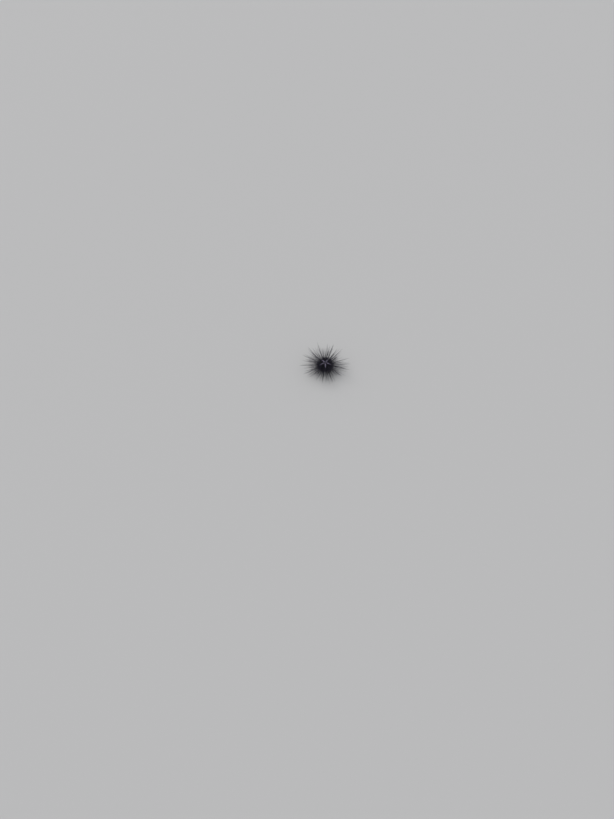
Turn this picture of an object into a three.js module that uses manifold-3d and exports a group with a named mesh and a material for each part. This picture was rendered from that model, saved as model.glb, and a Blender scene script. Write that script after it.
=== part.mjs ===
// A long-spined black sea urchin (genus Diadema, a young adult), life size, standing on its lower spines.
// Millimetres, +Z up. The floor is z = 0, the body's axis is the Z axis, and -Y faces the viewer.
// The test (shell) is parted as its real fields are: five wide interambulacra and five narrow ambulacra,
// each one solid with its own spines, round an apical disc above and a peristome with five teeth below.

import * as THREE from "three";
import { mergeVertices } from "three/addons/utils/BufferGeometryUtils.js";
import Module from "manifold-3d";

const wasm = await Module();
wasm.setup();

const radians = THREE.MathUtils.degToRad;
const lerp = THREE.MathUtils.lerp;
const clamp = THREE.MathUtils.clamp;

// Driving sizes.
const TEST_RADIUS = 26; // half the test's diameter at the ambitus, its widest line
const DOME_HEIGHT = 14.5; // ambitus to the top of the test
const BELLY_DEPTH = 10.5; // ambitus to the flat oral face
const DOME_ROUNDNESS = 2.15; // superellipse powers: 2 is an ellipse, more is boxier
const BELLY_ROUNDNESS = 2.6;
const STANDING_GAP = 10; // oral face above the floor, held up by the lower spines
const AMBITUS_Z = STANDING_GAP + BELLY_DEPTH;
const REACH = { x: 95, y: 87 }; // axis to the outermost spine tips

const RAYS = 5;
const STAR_TURN = 3; // degrees; turns the whole five-rayed body as it lies in the picture
const NARROW_HALF_ANGLE = 11; // degrees, half an ambulacrum
const WIDE_HALF_ANGLE = 180 / RAYS - NARROW_HALF_ANGLE; // half an interambulacrum
const SEAM = 0.3; // gap between any two solids

const APICAL_RADIUS = 6.5;
const GENITAL_PLATE = { width: 3.1, length: 2.3 }; // five of these round the anus, one to each wide field
const OCULAR_PLATE = { width: 1.5, length: 1.5 }; // and a smaller one to each narrow field
const PLATE_RELIEF = 0.45; // how far they stand out of the disc
const PERIPROCT_RADIUS = 3.7; // the soft skin inside the ring of plates
const PERIPROCT_DEPTH = 3;
const ANAL_BULB = { radius: 3.3, rise: 2.2, height: 3.1, opening: 0.7 };

const PERISTOME_RADIUS = 10.5;
const LIP = { outer: 6.7, inner: 4.6, fullness: 1.1 }; // the swollen ring of skin round the mouth
const MOUTH_RADIUS = 3.1;
const TOOTH_LENGTH = 6.2;
const TOOTH_SHOWING = 2.4;
const GILL = { length: 4.2, radius: 0.9, inset: 1.3 };

const AROUND = 44; // facets round the body
const AROUND_PLUG = 30; // and round the disc above and the peristome below
const PROFILE_STEPS = 7; // facets on each of the dome's and the belly's profiles

// Spines.
const SPINE_SIDES = 5;
const ROW_SPACING = 3.6; // along the shell from spine to spine
const ROOT_MARGIN = 1.75; // spine root to the edge of its field
const ROOT_DEPTH = 2.2; // how far a root is sunk in the shell
const MID_AT = 0.45; // where along a spine its middle ring sits
const MID_THICKNESS = 0.72; // of the root's radius
const FOOT_RADIUS = 0.45; // half the width of the flat on which a lower spine stands
const THINNEST_ROOT = 0.42; // root radius of the shortest spine, and what each millimetre of length adds
const ROOT_PER_LENGTH = 0.0072;
const CLEARANCE = 0.45; // least air between two spines
const SWAY = 9; // degrees by which a spine leans off its field's own direction
const SCATTER = 0.3; // by which a root sits off its line
const FAN = 0.24; // gap wanted between the tips of two neighbours, for each millimetre of their length
const NEIGHBOURHOOD = 45; // spines rooted further apart than this never meet
const LENGTH_SPREAD = [0.84, 1.08];
const YOUNG_SHARE = 0.16; // of the spines are still growing, at this part of the full length
const YOUNG_LENGTH = 0.55;
const SHORTEST = 6;
const FLOOR_GRASP = 2.5; // a spine that ends this close above the floor is let down on to it
const SEED = 20117;

// u runs along the shell from the peristome's edge, 0, to the apical disc's edge, 1.
const LEAN = [[0, -72], [0.2, -46], [0.42, -9], [0.6, 10], [0.8, 30], [1, 56]]; // degrees above level
const LENGTH = [[0, 11], [0.2, 17], [0.34, 44], [0.46, 71], [0.64, 68], [0.8, 53], [0.92, 42], [1, 29]];

// Each series is one line of spines along a field: its place across the half field, the sides that have it,
// where it runs, and its share of the full length. The upper middle of a wide field stays bare.
const BOTH_SIDES = [-1, 1];
const WIDE_SERIES = [
  { across: 0.82, sides: BOTH_SIDES, from: 0, to: 1, share: 1 },
  { across: 0.42, sides: BOTH_SIDES, from: 0.14, to: 0.8, share: 0.97 },
  { across: 0.04, sides: [1], from: 0.24, to: 0.58, share: 0.94 },
];
const NARROW_SERIES = [{ across: 0.5, sides: BOTH_SIDES, from: 0, to: 0.94, share: 0.74 }];

// A value read off a short table of [place, value] pairs, joined by straight lines.
function along(table, u) {
  const next = Math.max(1, table.findIndex(([place]) => place >= u));
  const [u0, a] = table[next - 1];
  const [u1, b] = table[next];
  return lerp(a, b, clamp((u - u0) / (u1 - u0), 0, 1));
}

// A repeatable stream of numbers from 0 to 1.
function randomStream(seed) {
  let state = seed;
  return () => {
    state = (state + 0x6d2b79f5) | 0;
    let t = Math.imul(state ^ (state >>> 15), 1 | state);
    t = (t + Math.imul(t ^ (t >>> 7), 61 | t)) ^ t;
    return ((t ^ (t >>> 14)) >>> 0) / 4294967296;
  };
}

// A closed three.js geometry as a solid, and back.
function solidOf(geometry) {
  const bare = new THREE.BufferGeometry();
  bare.setAttribute("position", geometry.getAttribute("position"));
  if (geometry.index) bare.setIndex(geometry.index);
  const merged = mergeVertices(bare, 1e-4);
  return new wasm.Manifold(
    new wasm.Mesh({
      numProp: 3,
      vertProperties: new Float32Array(merged.attributes.position.array),
      triVerts: new Uint32Array(merged.index.array),
    }),
  );
}

function geometryOf(solid) {
  const mesh = solid.getMesh();
  const geometry = new THREE.BufferGeometry();
  geometry.setAttribute("position", new THREE.BufferAttribute(mesh.vertProperties, 3));
  geometry.setIndex(new THREE.BufferAttribute(mesh.triVerts, 1));
  geometry.computeVertexNormals();
  return geometry;
}

// Joins solids and keeps the largest closed surface.
function joined(solids) {
  const bodies = wasm.Manifold.union(solids).decompose();
  return bodies.reduce((best, body) => (body.volume() > best.volume() ? body : best));
}

// The shell's profile, measured from the ambitus, at latitude t degrees: -90 at the mouth, 90 at the top.
function profileAt(t) {
  const [height, power] = t < 0 ? [BELLY_DEPTH, BELLY_ROUNDNESS] : [DOME_HEIGHT, DOME_ROUNDNESS];
  const r = TEST_RADIUS * Math.cos(radians(t)) ** (2 / power);
  const z = Math.sign(t) * height * Math.abs(Math.sin(radians(t))) ** (2 / power);
  return new THREE.Vector2(r, z);
}

// A solid of revolution about Z from [radius, height] points, listed from the lowest up.
function turned(points, around = AROUND) {
  const lathe = new THREE.LatheGeometry(points, around);
  return solidOf(lathe.rotateX(Math.PI / 2));
}

function shellSolid() {
  const points = [new THREE.Vector2(0, -BELLY_DEPTH)];
  for (let i = -PROFILE_STEPS + 1; i < PROFILE_STEPS; i++)
    points.push(profileAt((90 * i) / PROFILE_STEPS));
  points.push(new THREE.Vector2(0, DOME_HEIGHT));
  return turned(points);
}

function column(radius, low, high) {
  return turned([
    new THREE.Vector2(0, low),
    new THREE.Vector2(radius, low),
    new THREE.Vector2(radius, high),
    new THREE.Vector2(0, high),
  ], AROUND_PLUG);
}

// A prism over the sector from -half to half degrees about +X, its two sides drawn in by half a seam.
function sectorPrism(half, reach = 2.4 * TEST_RADIUS, height = 4 * TEST_RADIUS) {
  const apex = SEAM / 2 / Math.sin(radians(half));
  const far = [Math.cos(radians(half)) * reach, Math.sin(radians(half)) * reach];
  const outline = new THREE.Shape([
    new THREE.Vector2(apex, 0),
    new THREE.Vector2(apex + far[0], -far[1]),
    new THREE.Vector2(apex + far[0], far[1]),
  ]);
  const prism = new THREE.ExtrudeGeometry(outline, { depth: height, bevelEnabled: false });
  return solidOf(prism.translate(0, 0, -height / 2));
}

// Latitudes evenly spaced along the shell between two radii, as a function of u.
function shellRuler(lowRadius, highRadius) {
  const samples = [];
  let length = 0;
  let last = null;
  for (let t = -89; t <= 89; t += 0.25) {
    const point = profileAt(t);
    if (t < 0 && point.x < lowRadius) continue;
    if (t > 0 && point.x < highRadius) break;
    if (last) length += point.distanceTo(last);
    samples.push([length, t]);
    last = point;
  }
  return { length, latitude: (u) => along(samples, u * length) };
}

const ruler = shellRuler(PERISTOME_RADIUS + ROOT_MARGIN, APICAL_RADIUS + ROOT_MARGIN);

// The spines of one field, in the body's frame: root, direction and length, before they are eased apart.
function fieldSpines(field, random) {
  const spread = (most) => most * (2 * random() - 1);
  const spines = [];
  for (const { across, sides, from, to, share } of field.series)
    for (const side of sides) {
      const rows = Math.floor(((to - from) * ruler.length) / ROW_SPACING);
      const stagger = side > 0 ? 0.5 : 0;
      for (let row = 0; row < rows; row++) {
        const u = from + ((row + stagger) / rows) * (to - from) + spread(SCATTER / ruler.length);
        const { x: r, y: z } = profileAt(ruler.latitude(clamp(u, 0, 1)));
        const half = r * radians(field.half);
        const offset = Math.min(across * half, half - ROOT_MARGIN) + spread(SCATTER / 2);
        const azimuth = field.azimuth + (side * offset) / r;
        const lean = radians(along(LEAN, u) + spread(SWAY));
        const heading = azimuth + radians(spread(SWAY));
        const grown = random() < YOUNG_SHARE ? YOUNG_LENGTH : 1;
        const length = along(LENGTH, u) * share * grown * lerp(...LENGTH_SPREAD, random());
        spines.push({
          field,
          root: new THREE.Vector3(r * Math.cos(azimuth), r * Math.sin(azimuth), z),
          direction: new THREE.Vector3(
            Math.cos(lean) * Math.cos(heading),
            Math.cos(lean) * Math.sin(heading),
            Math.sin(lean),
          ),
          length,
          radius: THINNEST_ROOT + ROOT_PER_LENGTH * length,
        });
      }
    }
  return spines;
}

// A spine that would pass through the floor ends on it.
function standOnFloor(spine) {
  const drop = -spine.direction.z;
  const toFloor = drop > 0 ? (spine.root.z + AMBITUS_Z) / drop : Infinity;
  spine.free ??= spine.length;
  spine.stands = spine.free >= toFloor - FLOOR_GRASP;
  spine.length = spine.stands ? toFloor : spine.free;
}

// Closest approach of two spines: the distance along each, and the vector from the first to the second.
function closest(a, b) {
  const between = a.root.clone().sub(b.root);
  const cross = a.direction.dot(b.direction);
  const fromA = between.dot(a.direction);
  const fromB = between.dot(b.direction);
  const spread = Math.max(1 - cross * cross, 1e-9);
  let s = clamp((cross * fromB - fromA) / spread, 0, a.length);
  const t = clamp(cross * s + fromB, 0, b.length);
  s = clamp(cross * t - fromA, 0, a.length);
  const gap = b.root.clone().addScaledVector(b.direction, t);
  gap.sub(a.root).addScaledVector(a.direction, -s);
  return { s, t, gap };
}

function radiusAt(spine, s) {
  const u = s / spine.length;
  const tip = spine.stands ? FOOT_RADIUS : 0;
  const mid = MID_THICKNESS * spine.radius;
  return u < MID_AT ? lerp(spine.radius, mid, u / MID_AT) : lerp(mid, tip, (u - MID_AT) / (1 - MID_AT));
}

function shortfall(a, b) {
  const { s, t, gap } = closest(a, b);
  return { s, t, gap, short: radiusAt(a, s) + radiusAt(b, t) + CLEARANCE - gap.length() };
}

function neighbours(a, b) {
  return a.root.distanceTo(b.root) < NEIGHBOURHOOD;
}

// All pairs of spines that could meet.
function pairsOf(spines) {
  return spines.flatMap((a, i) => spines.slice(i + 1).filter((b) => neighbours(a, b)).map((b) => [a, b]));
}

// Turns each spine away from its neighbours, a little at a time, so that their tips fan out evenly.
function fanOut(spines) {
  const rounds = 60;
  const eagerness = 0.12; // share of the shortfall that one round makes good
  const pairs = pairsOf(spines);
  for (let round = 0; round < rounds; round++)
    for (const [a, b] of pairs) {
      const reach = Math.min(a.length, b.length);
      const gap = b.root.clone().sub(a.root);
      gap.addScaledVector(b.direction, reach).addScaledVector(a.direction, -reach);
      const short = FAN * reach - gap.length();
      if (short <= 0) continue;
      gap.normalize();
      a.direction.addScaledVector(gap, (-eagerness * short) / reach).normalize();
      b.direction.addScaledVector(gap, (eagerness * short) / reach).normalize();
    }
  return spines;
}

// Turns neighbouring spines away from each other until none touch, then drops any that still do.
function easeApart(spines) {
  const rounds = 160;
  const nearRoot = 2; // a spine isn't turned by what touches it this close to its root
  const eagerness = 0.55;
  const nudge = 0.02;
  const pairs = pairsOf(spines);
  for (let round = 0; round < rounds; round++) {
    let touching = 0;
    for (const [a, b] of pairs) {
      const { s, t, gap, short } = shortfall(a, b);
      if (short <= 0) continue;
      touching++;
      const apart = b.root.clone().sub(a.root);
      const push = gap.length() > nudge ? gap.normalize() : apart.normalize();
      const turn = (eagerness * short + nudge) / 2;
      if (s > nearRoot) a.direction.addScaledVector(push, -turn / s).normalize();
      if (t > nearRoot) b.direction.addScaledVector(push, turn / t).normalize();
    }
    spines.forEach(standOnFloor);
    if (!touching) break;
  }
  const kept = [];
  for (const spine of [...spines].sort((a, b) => b.length - a.length))
    if (kept.every((other) => !neighbours(spine, other) || shortfall(spine, other).short < SEAM / 2))
      kept.push(spine);
  return kept.filter((spine) => spine.length > SHORTEST);
}

// Ends the outermost spines on the rectangle that REACH gives, so that the body's axis is at its middle.
function squareUp(spines) {
  const free = spines.filter((spine) => !spine.stands);
  const over = (spine, axis, sign) =>
    (REACH[axis] - sign * spine.root[axis]) / (sign * spine.direction[axis]);
  for (const axis of ["x", "y"])
    for (const sign of [-1, 1]) {
      const tip = (spine) => sign * (spine.root[axis] + spine.direction[axis] * spine.length);
      const outermost = free.reduce((best, spine) => (tip(spine) > tip(best) ? spine : best));
      for (const spine of free)
        if (spine === outermost || tip(spine) > REACH[axis]) spine.length = over(spine, axis, sign);
    }
}

// One spine as a closed, tapering solid of few sides, in the frame of its field.
function spineSolid(spine) {
  const turn = new THREE.Matrix4().makeRotationZ(-spine.field.azimuth);
  const root = spine.root.clone().applyMatrix4(turn);
  const direction = spine.direction.clone().applyMatrix4(turn);
  const side = new THREE.Vector3(0, 0, 1).cross(direction).normalize();
  const up = direction.clone().cross(side);
  const positions = [];
  const ring = (s, radius) => {
    for (let i = 0; i < SPINE_SIDES; i++) {
      const angle = (2 * Math.PI * i) / SPINE_SIDES;
      const point = root.clone().addScaledVector(direction, s);
      point.addScaledVector(side, radius * Math.cos(angle));
      point.addScaledVector(up, radius * Math.sin(angle));
      positions.push(point.x, point.y, point.z);
    }
  };
  const beyond = spine.stands ? 2 * FOOT_RADIUS : 0; // cut off level with the floor afterwards
  ring(-ROOT_DEPTH, spine.radius);
  ring(MID_AT * spine.length, MID_THICKNESS * spine.radius);
  if (spine.stands) ring(spine.length + beyond, FOOT_RADIUS);
  else {
    const tip = root.clone().addScaledVector(direction, spine.length);
    positions.push(tip.x, tip.y, tip.z);
  }
  const faces = [];
  const band = (a, b) => {
    for (let i = 0; i < SPINE_SIDES; i++) {
      const j = (i + 1) % SPINE_SIDES;
      faces.push(a + i, a + j, b + j, a + i, b + j, b + i);
    }
  };
  const cap = (a, turned) => {
    for (let i = 1; i < SPINE_SIDES - 1; i++)
      faces.push(a, a + (turned ? i : i + 1), a + (turned ? i + 1 : i));
  };
  cap(0, false);
  band(0, SPINE_SIDES);
  if (spine.stands) {
    band(SPINE_SIDES, 2 * SPINE_SIDES);
    cap(2 * SPINE_SIDES, true);
  } else
    for (let i = 0; i < SPINE_SIDES; i++)
      faces.push(SPINE_SIDES + i, SPINE_SIDES + ((i + 1) % SPINE_SIDES), 2 * SPINE_SIDES);
  const geometry = new THREE.BufferGeometry();
  geometry.setAttribute("position", new THREE.Float32BufferAttribute(positions, 3));
  geometry.setIndex(faces);
  return solidOf(geometry);
}

// The finishes, near black with a violet cast, as the living animal's skin and spines are.
const finishes = {
  shell: new THREE.MeshStandardMaterial({ color: "#1b1722", roughness: 0.5, metalness: 0 }),
  groove: new THREE.MeshStandardMaterial({ color: "#15121b", roughness: 0.55, metalness: 0 }),
  disc: new THREE.MeshStandardMaterial({ color: "#262130", roughness: 0.5, metalness: 0 }),
  cone: new THREE.MeshStandardMaterial({ color: "#2b2633", roughness: 0.4, metalness: 0 }),
  skin: new THREE.MeshStandardMaterial({ color: "#2a1f27", roughness: 0.6, metalness: 0 }),
  tooth: new THREE.MeshStandardMaterial({ color: "#e6e0d2", roughness: 0.35, metalness: 0 }),
};

function node(name, solid, finish) {
  const mesh = new THREE.Mesh(geometryOf(solid), finish);
  mesh.name = name;
  return mesh;
}

// The azimuth of a ray of the star; the first faces the viewer, turned by STAR_TURN.
function rayAngle(ray) {
  return radians(-90 + STAR_TURN + (360 * ray) / RAYS);
}

// The ten fields in order round the body.
const fields = [];
for (let ray = 0; ray < RAYS; ray++) {
  fields.push({
    name: `interambulacrum_${ray + 1}`,
    azimuth: rayAngle(ray),
    half: WIDE_HALF_ANGLE,
    series: WIDE_SERIES,
    finish: finishes.shell,
  });
  fields.push({
    name: `ambulacrum_${ray + 1}`,
    azimuth: rayAngle(ray + 0.5),
    half: NARROW_HALF_ANGLE,
    series: NARROW_SERIES,
    finish: finishes.groove,
  });
}

const random = randomStream(SEED);
const shell = shellSolid();
const apicalHole = column(APICAL_RADIUS + SEAM, 0, TEST_RADIUS);
const peristomeHole = column(PERISTOME_RADIUS + SEAM, -TEST_RADIUS, SEAM / 2);
const belowFloor = solidOf(
  new THREE.BoxGeometry(4 * REACH.x, 4 * REACH.y, 20).translate(0, 0, -AMBITUS_Z - 10),
);

const allSpines = easeApart(fanOut(fields.flatMap((field) => fieldSpines(field, random))));
squareUp(allSpines);

function fieldNode(field) {
  const plate = shell.subtract(apicalHole).subtract(peristomeHole).intersect(sectorPrism(field.half));
  const spines = allSpines.filter((spine) => spine.field === field).map(spineSolid);
  const mesh = node(field.name, joined([plate, ...spines]).subtract(belowFloor), field.finish);
  mesh.rotation.z = field.azimuth;
  return mesh;
}

// A low shield-shaped plate lying on the apical disc, its point outwards, its middle at the given radius.
function discPlate({ width, length }, seat, angle) {
  const outline = new THREE.Shape([
    new THREE.Vector2(-length / 2, -0.36 * width),
    new THREE.Vector2(0.1 * length, -width / 2),
    new THREE.Vector2(length / 2, 0),
    new THREE.Vector2(0.1 * length, width / 2),
    new THREE.Vector2(-length / 2, 0.36 * width),
  ]);
  const depth = 1.2;
  const bevel = { bevelThickness: 0.2, bevelSize: 0.2, bevelOffset: -0.2, bevelSegments: 1 };
  const plate = new THREE.ExtrudeGeometry(outline, { depth, ...bevel });
  plate.translate(seat, 0, DOME_HEIGHT + PLATE_RELIEF - depth - bevel.bevelThickness);
  return solidOf(plate.rotateZ(angle));
}

// The apical disc: a ring of five genital and five ocular plates round the anus.
function apicalDisc() {
  const core = shell.intersect(column(APICAL_RADIUS, SEAM / 2, TEST_RADIUS));
  const socket = column(PERIPROCT_RADIUS + SEAM, DOME_HEIGHT - PERIPROCT_DEPTH, TEST_RADIUS);
  const seat = (APICAL_RADIUS + PERIPROCT_RADIUS + SEAM) / 2;
  const plates = fields.map(({ azimuth, half }) =>
    half === WIDE_HALF_ANGLE
      ? discPlate(GENITAL_PLATE, seat, azimuth)
      : discPlate(OCULAR_PLATE, seat + 0.3, azimuth),
  );
  return node("apical_disc", joined([core, ...plates]).subtract(socket), finishes.disc);
}

// The soft anal papilla: a balloon on a short neck in the middle of the disc, with the anus at its top.
function analCone() {
  const foot = DOME_HEIGHT - PERIPROCT_DEPTH + SEAM;
  const middle = DOME_HEIGHT + ANAL_BULB.rise;
  const points = [
    new THREE.Vector2(0, foot),
    new THREE.Vector2(PERIPROCT_RADIUS, foot),
    new THREE.Vector2(PERIPROCT_RADIUS, DOME_HEIGHT - SEAM),
  ];
  for (let t = -35; t <= 65; t += 25)
    points.push(
      new THREE.Vector2(
        ANAL_BULB.radius * Math.cos(radians(t)),
        middle + ANAL_BULB.height * Math.sin(radians(t)),
      ),
    );
  points.push(new THREE.Vector2(ANAL_BULB.opening, middle + ANAL_BULB.height));
  points.push(new THREE.Vector2(0, middle + ANAL_BULB.height - ANAL_BULB.opening));
  return node("anal_cone", turned(points, 16), finishes.cone);
}

// The soft skin round the mouth, with a swollen lip, and ten gill tufts in the notches at its edge.
function peristome() {
  const core = shell.intersect(column(PERISTOME_RADIUS, -TEST_RADIUS, -SEAM / 2));
  const lip = turned(
    [
      new THREE.Vector2(0, -LIP.fullness),
      new THREE.Vector2(LIP.inner, -0.9 * LIP.fullness),
      new THREE.Vector2(LIP.outer, 0),
      new THREE.Vector2(0, 2 * LIP.fullness),
    ].map((point) => point.setY(point.y - BELLY_DEPTH)),
    AROUND_PLUG,
  );
  const gills = fields
    .filter(({ half }) => half === WIDE_HALF_ANGLE)
    .flatMap(({ azimuth, half }) => BOTH_SIDES.map((side) => azimuth + side * radians(half)))
    .map((angle) => {
      const gill = new THREE.ConeGeometry(GILL.radius, GILL.length, 6).rotateX(-Math.PI / 2);
      const seat = PERISTOME_RADIUS - GILL.inset;
      gill.translate(seat * Math.cos(angle), seat * Math.sin(angle), -BELLY_DEPTH - GILL.length / 7);
      return solidOf(gill);
    });
  const mouth = column(MOUTH_RADIUS, -TEST_RADIUS, toothTop() + SEAM);
  return node("peristome", joined([core, lip, ...gills]).subtract(mouth), finishes.skin);
}

function toothTop() {
  return -BELLY_DEPTH - LIP.fullness - TOOTH_SHOWING + TOOTH_LENGTH;
}

// One of the five chalky teeth, a fifth of a blunt cone whose points close together under the mouth.
function tooth(ray) {
  const top = toothTop();
  const tip = top - TOOTH_LENGTH;
  const cone = turned(
    [
      new THREE.Vector2(0, tip),
      new THREE.Vector2(0.7, tip + 0.15),
      new THREE.Vector2(2, tip + TOOTH_SHOWING),
      new THREE.Vector2(MOUTH_RADIUS - SEAM, tip + 1.7 * TOOTH_SHOWING),
      new THREE.Vector2(MOUTH_RADIUS - SEAM, top),
      new THREE.Vector2(0, top),
    ],
    AROUND_PLUG,
  );
  const mesh = node(`tooth_${ray + 1}`, cone.intersect(sectorPrism(180 / RAYS)), finishes.tooth);
  mesh.rotation.z = rayAngle(ray);
  return mesh;
}

const body = new THREE.Group();
body.position.z = AMBITUS_Z;
for (const field of fields) body.add(fieldNode(field));
body.add(apicalDisc(), analCone(), peristome());
for (let ray = 0; ray < RAYS; ray++) body.add(tooth(ray));

const urchin = new THREE.Group();
urchin.add(body);

export default urchin;
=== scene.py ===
"""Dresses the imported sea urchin: skin, spines, tube feet, apical disc, anal papilla, mouth and studio."""

import logging
import math
from dataclasses import dataclass, field
from enum import Enum

import bpy
import numpy as np
from mathutils import Matrix, Vector


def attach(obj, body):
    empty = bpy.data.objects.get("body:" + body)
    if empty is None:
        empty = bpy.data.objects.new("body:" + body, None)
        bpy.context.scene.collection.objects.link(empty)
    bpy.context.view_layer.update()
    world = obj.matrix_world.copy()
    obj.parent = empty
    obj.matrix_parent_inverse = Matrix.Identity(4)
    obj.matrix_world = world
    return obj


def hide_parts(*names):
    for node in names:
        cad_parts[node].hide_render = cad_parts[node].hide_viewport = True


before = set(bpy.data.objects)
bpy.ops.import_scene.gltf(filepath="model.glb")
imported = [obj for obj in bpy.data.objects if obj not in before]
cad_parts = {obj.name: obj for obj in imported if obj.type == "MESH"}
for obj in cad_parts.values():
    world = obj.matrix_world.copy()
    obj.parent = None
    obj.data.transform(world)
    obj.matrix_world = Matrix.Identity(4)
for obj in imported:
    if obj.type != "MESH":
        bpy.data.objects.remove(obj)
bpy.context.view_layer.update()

log = logging.getLogger("urchin")

MM = 0.001  # sizes below are millimetres, and a mesh is written in metres
RAYS = 5
TURN = 2 * math.pi / RAYS  # from one ray to the next
BODY = "root"
SEED = 4127
BAKE_PATCH = 0.003  # width of one spine's patch on the coat's bake map

WIDE_FIELDS = [f"interambulacrum_{ray + 1}" for ray in range(RAYS)]
NARROW_FIELDS = [f"ambulacrum_{ray + 1}" for ray in range(RAYS)]
TEETH = [f"tooth_{ray + 1}" for ray in range(RAYS)]


# Small helpers.


def linear(hex_code: str) -> tuple[float, float, float, float]:
    """Turns an sRGB hex colour into linear RGBA.

    Args:
        hex_code: the colour, such as "#1b1722".

    Returns:
        Linear red, green and blue, and an alpha of 1.
    """
    channels = [int(hex_code[i : i + 2], 16) / 255 for i in (1, 3, 5)]
    values = [c / 12.92 if c <= 0.04045 else ((c + 0.055) / 1.055) ** 2.4 for c in channels]
    return (*values, 1.0)


def add_node(
    tree: bpy.types.NodeTree, kind: str, inputs: dict | None = None, **settings
) -> bpy.types.Node:
    """Adds a node to a tree, with its settings and links.

    Args:
        tree: the shader or geometry tree.
        kind: the node's Blender type.
        inputs: for a socket's name or number, its value or the output socket that feeds it.
        **settings: the node's own properties.

    Returns:
        The new node.
    """
    node = tree.nodes.new(kind)
    for name, value in settings.items():
        setattr(node, name, value)
    for key, value in (inputs or {}).items():
        if isinstance(value, bpy.types.NodeSocket):
            tree.links.new(value, node.inputs[key])
        else:
            node.inputs[key].default_value = value
    return node


def smooth(low: float, high: float, value: np.ndarray) -> np.ndarray:
    """A soft step from 0 at low to 1 at high."""
    t = np.clip((value - low) / (high - low), 0, 1)
    return t * t * (3 - 2 * t)


def bell(distance: np.ndarray, width: float | np.ndarray) -> np.ndarray:
    """A bump of height 1 and the given half width."""
    return np.exp(-((distance / width) ** 2))


def unit(vectors: np.ndarray) -> np.ndarray:
    """The vectors at length 1."""
    return vectors / np.linalg.norm(vectors, axis=-1, keepdims=True).clip(1e-12)


def read_attribute(mesh: bpy.types.Mesh, name: str) -> np.ndarray:
    """Reads a float attribute of a mesh's vertices.

    Args:
        mesh: the mesh.
        name: the attribute's name.

    Returns:
        One value for each vertex.
    """
    values = np.zeros(len(mesh.vertices), np.float32)
    mesh.attributes[name].data.foreach_get("value", values)
    return values


def write_attribute(mesh: bpy.types.Mesh, name: str, values: np.ndarray) -> None:
    """Writes a float attribute, one value for each vertex."""
    layer = mesh.attributes.new(name, "FLOAT", "POINT")
    layer.data.foreach_set("value", np.ascontiguousarray(values, np.float32).ravel())


def write_uv(mesh: bpy.types.Mesh, name: str, u: np.ndarray, v: np.ndarray) -> None:
    """Writes a UV map, one place for each face corner."""
    layer = mesh.uv_layers.new(name=name)
    layer.data.foreach_set("uv", np.stack([u, v], axis=1).astype(np.float32).ravel())


def horizontal(azimuth: float) -> tuple[np.ndarray, np.ndarray]:
    """Unit vectors away from the axis and counter-clockwise round it."""
    across, along = math.cos(azimuth), math.sin(azimuth)
    return np.array([across, along, 0]), np.array([-along, across, 0])


def ring_of(count: int) -> np.ndarray:
    """Azimuths of a ring's points, as one row."""
    return np.linspace(-math.pi, math.pi, count, endpoint=False)[None, :]


def turned(r: np.ndarray, azimuth: np.ndarray, z: np.ndarray) -> np.ndarray:
    """Points at a distance from the axis, an azimuth and a height, with their three parts last."""
    return np.stack([r * np.cos(azimuth), r * np.sin(azimuth), z], axis=-1)


def vertex_points(mesh: bpy.types.Mesh) -> np.ndarray:
    """The vertices of a mesh, in millimetres.

    Args:
        mesh: the mesh, in metres.

    Returns:
        Points, shaped (vertices, 3).
    """
    points = np.zeros(len(mesh.vertices) * 3, np.float32)
    mesh.vertices.foreach_get("co", points)
    return points.reshape(-1, 3) / MM


def corner_vertices(mesh: bpy.types.Mesh) -> np.ndarray:
    """The vertex of each face corner.

    Args:
        mesh: the mesh.

    Returns:
        The vertices' numbers, face after face.
    """
    corners = np.zeros(len(mesh.loops), np.int32)
    mesh.loops.foreach_get("vertex_index", corners)
    return corners


def past_seam(mesh: bpy.types.Mesh, share: np.ndarray) -> np.ndarray:
    """Makes a share of a turn run on past 1 in the faces that cross the line where it starts again.

    Args:
        mesh: the mesh, whose end caps go all the way round and have more than four corners.
        share: from 0 to 1, one for each face corner.

    Returns:
        The shares, which are left as they are in the end caps.
    """
    starts = np.zeros(len(mesh.polygons), np.int32)
    totals = np.zeros(len(mesh.polygons), np.int32)
    mesh.polygons.foreach_get("loop_start", starts)
    mesh.polygons.foreach_get("loop_total", totals)
    face = np.repeat(np.arange(len(starts)), totals)
    highest = np.maximum.reduceat(share, starts)[face]
    return np.where((highest - share > 0.5) & (totals[face] <= 4), share + 1, share)


def add_object(name: str, data: bpy.types.ID) -> bpy.types.Object:
    """Puts an object with this mesh, lamp or camera into the scene.

    Args:
        name: the object's name.
        data: the mesh, lamp or camera that it holds.

    Returns:
        The object, at the origin.
    """
    made = bpy.data.objects.new(name, data)
    bpy.context.scene.collection.objects.link(made)
    return made


def add_surface(
    name: str, points: np.ndarray, faces: list[tuple[int, ...]], material: bpy.types.Material
) -> bpy.types.Object:
    """Puts a smooth surface into the scene.

    Args:
        name: the new object's name.
        points: its points, in millimetres.
        faces: the numbers of each face's points.
        material: its finish.

    Returns:
        The object, at the origin.
    """
    mesh = bpy.data.meshes.new(name)
    mesh.from_pydata((points * MM).tolist(), [], faces)
    mesh.polygons.foreach_set("use_smooth", [True] * len(mesh.polygons))
    mesh.materials.append(material)
    return add_object(name, mesh)


def finish_piece(piece: bpy.types.Object, nodes: list[str]) -> bpy.types.Object:
    """Makes a piece ride on the body and hides the CAD nodes that it stands for.

    Args:
        piece: the finished mesh object.
        nodes: the CAD nodes that it replaces.

    Returns:
        The piece.
    """
    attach(piece, BODY)
    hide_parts(*nodes)
    log.info("%s: %d faces", piece.name, len(piece.data.polygons))
    return piece


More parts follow.
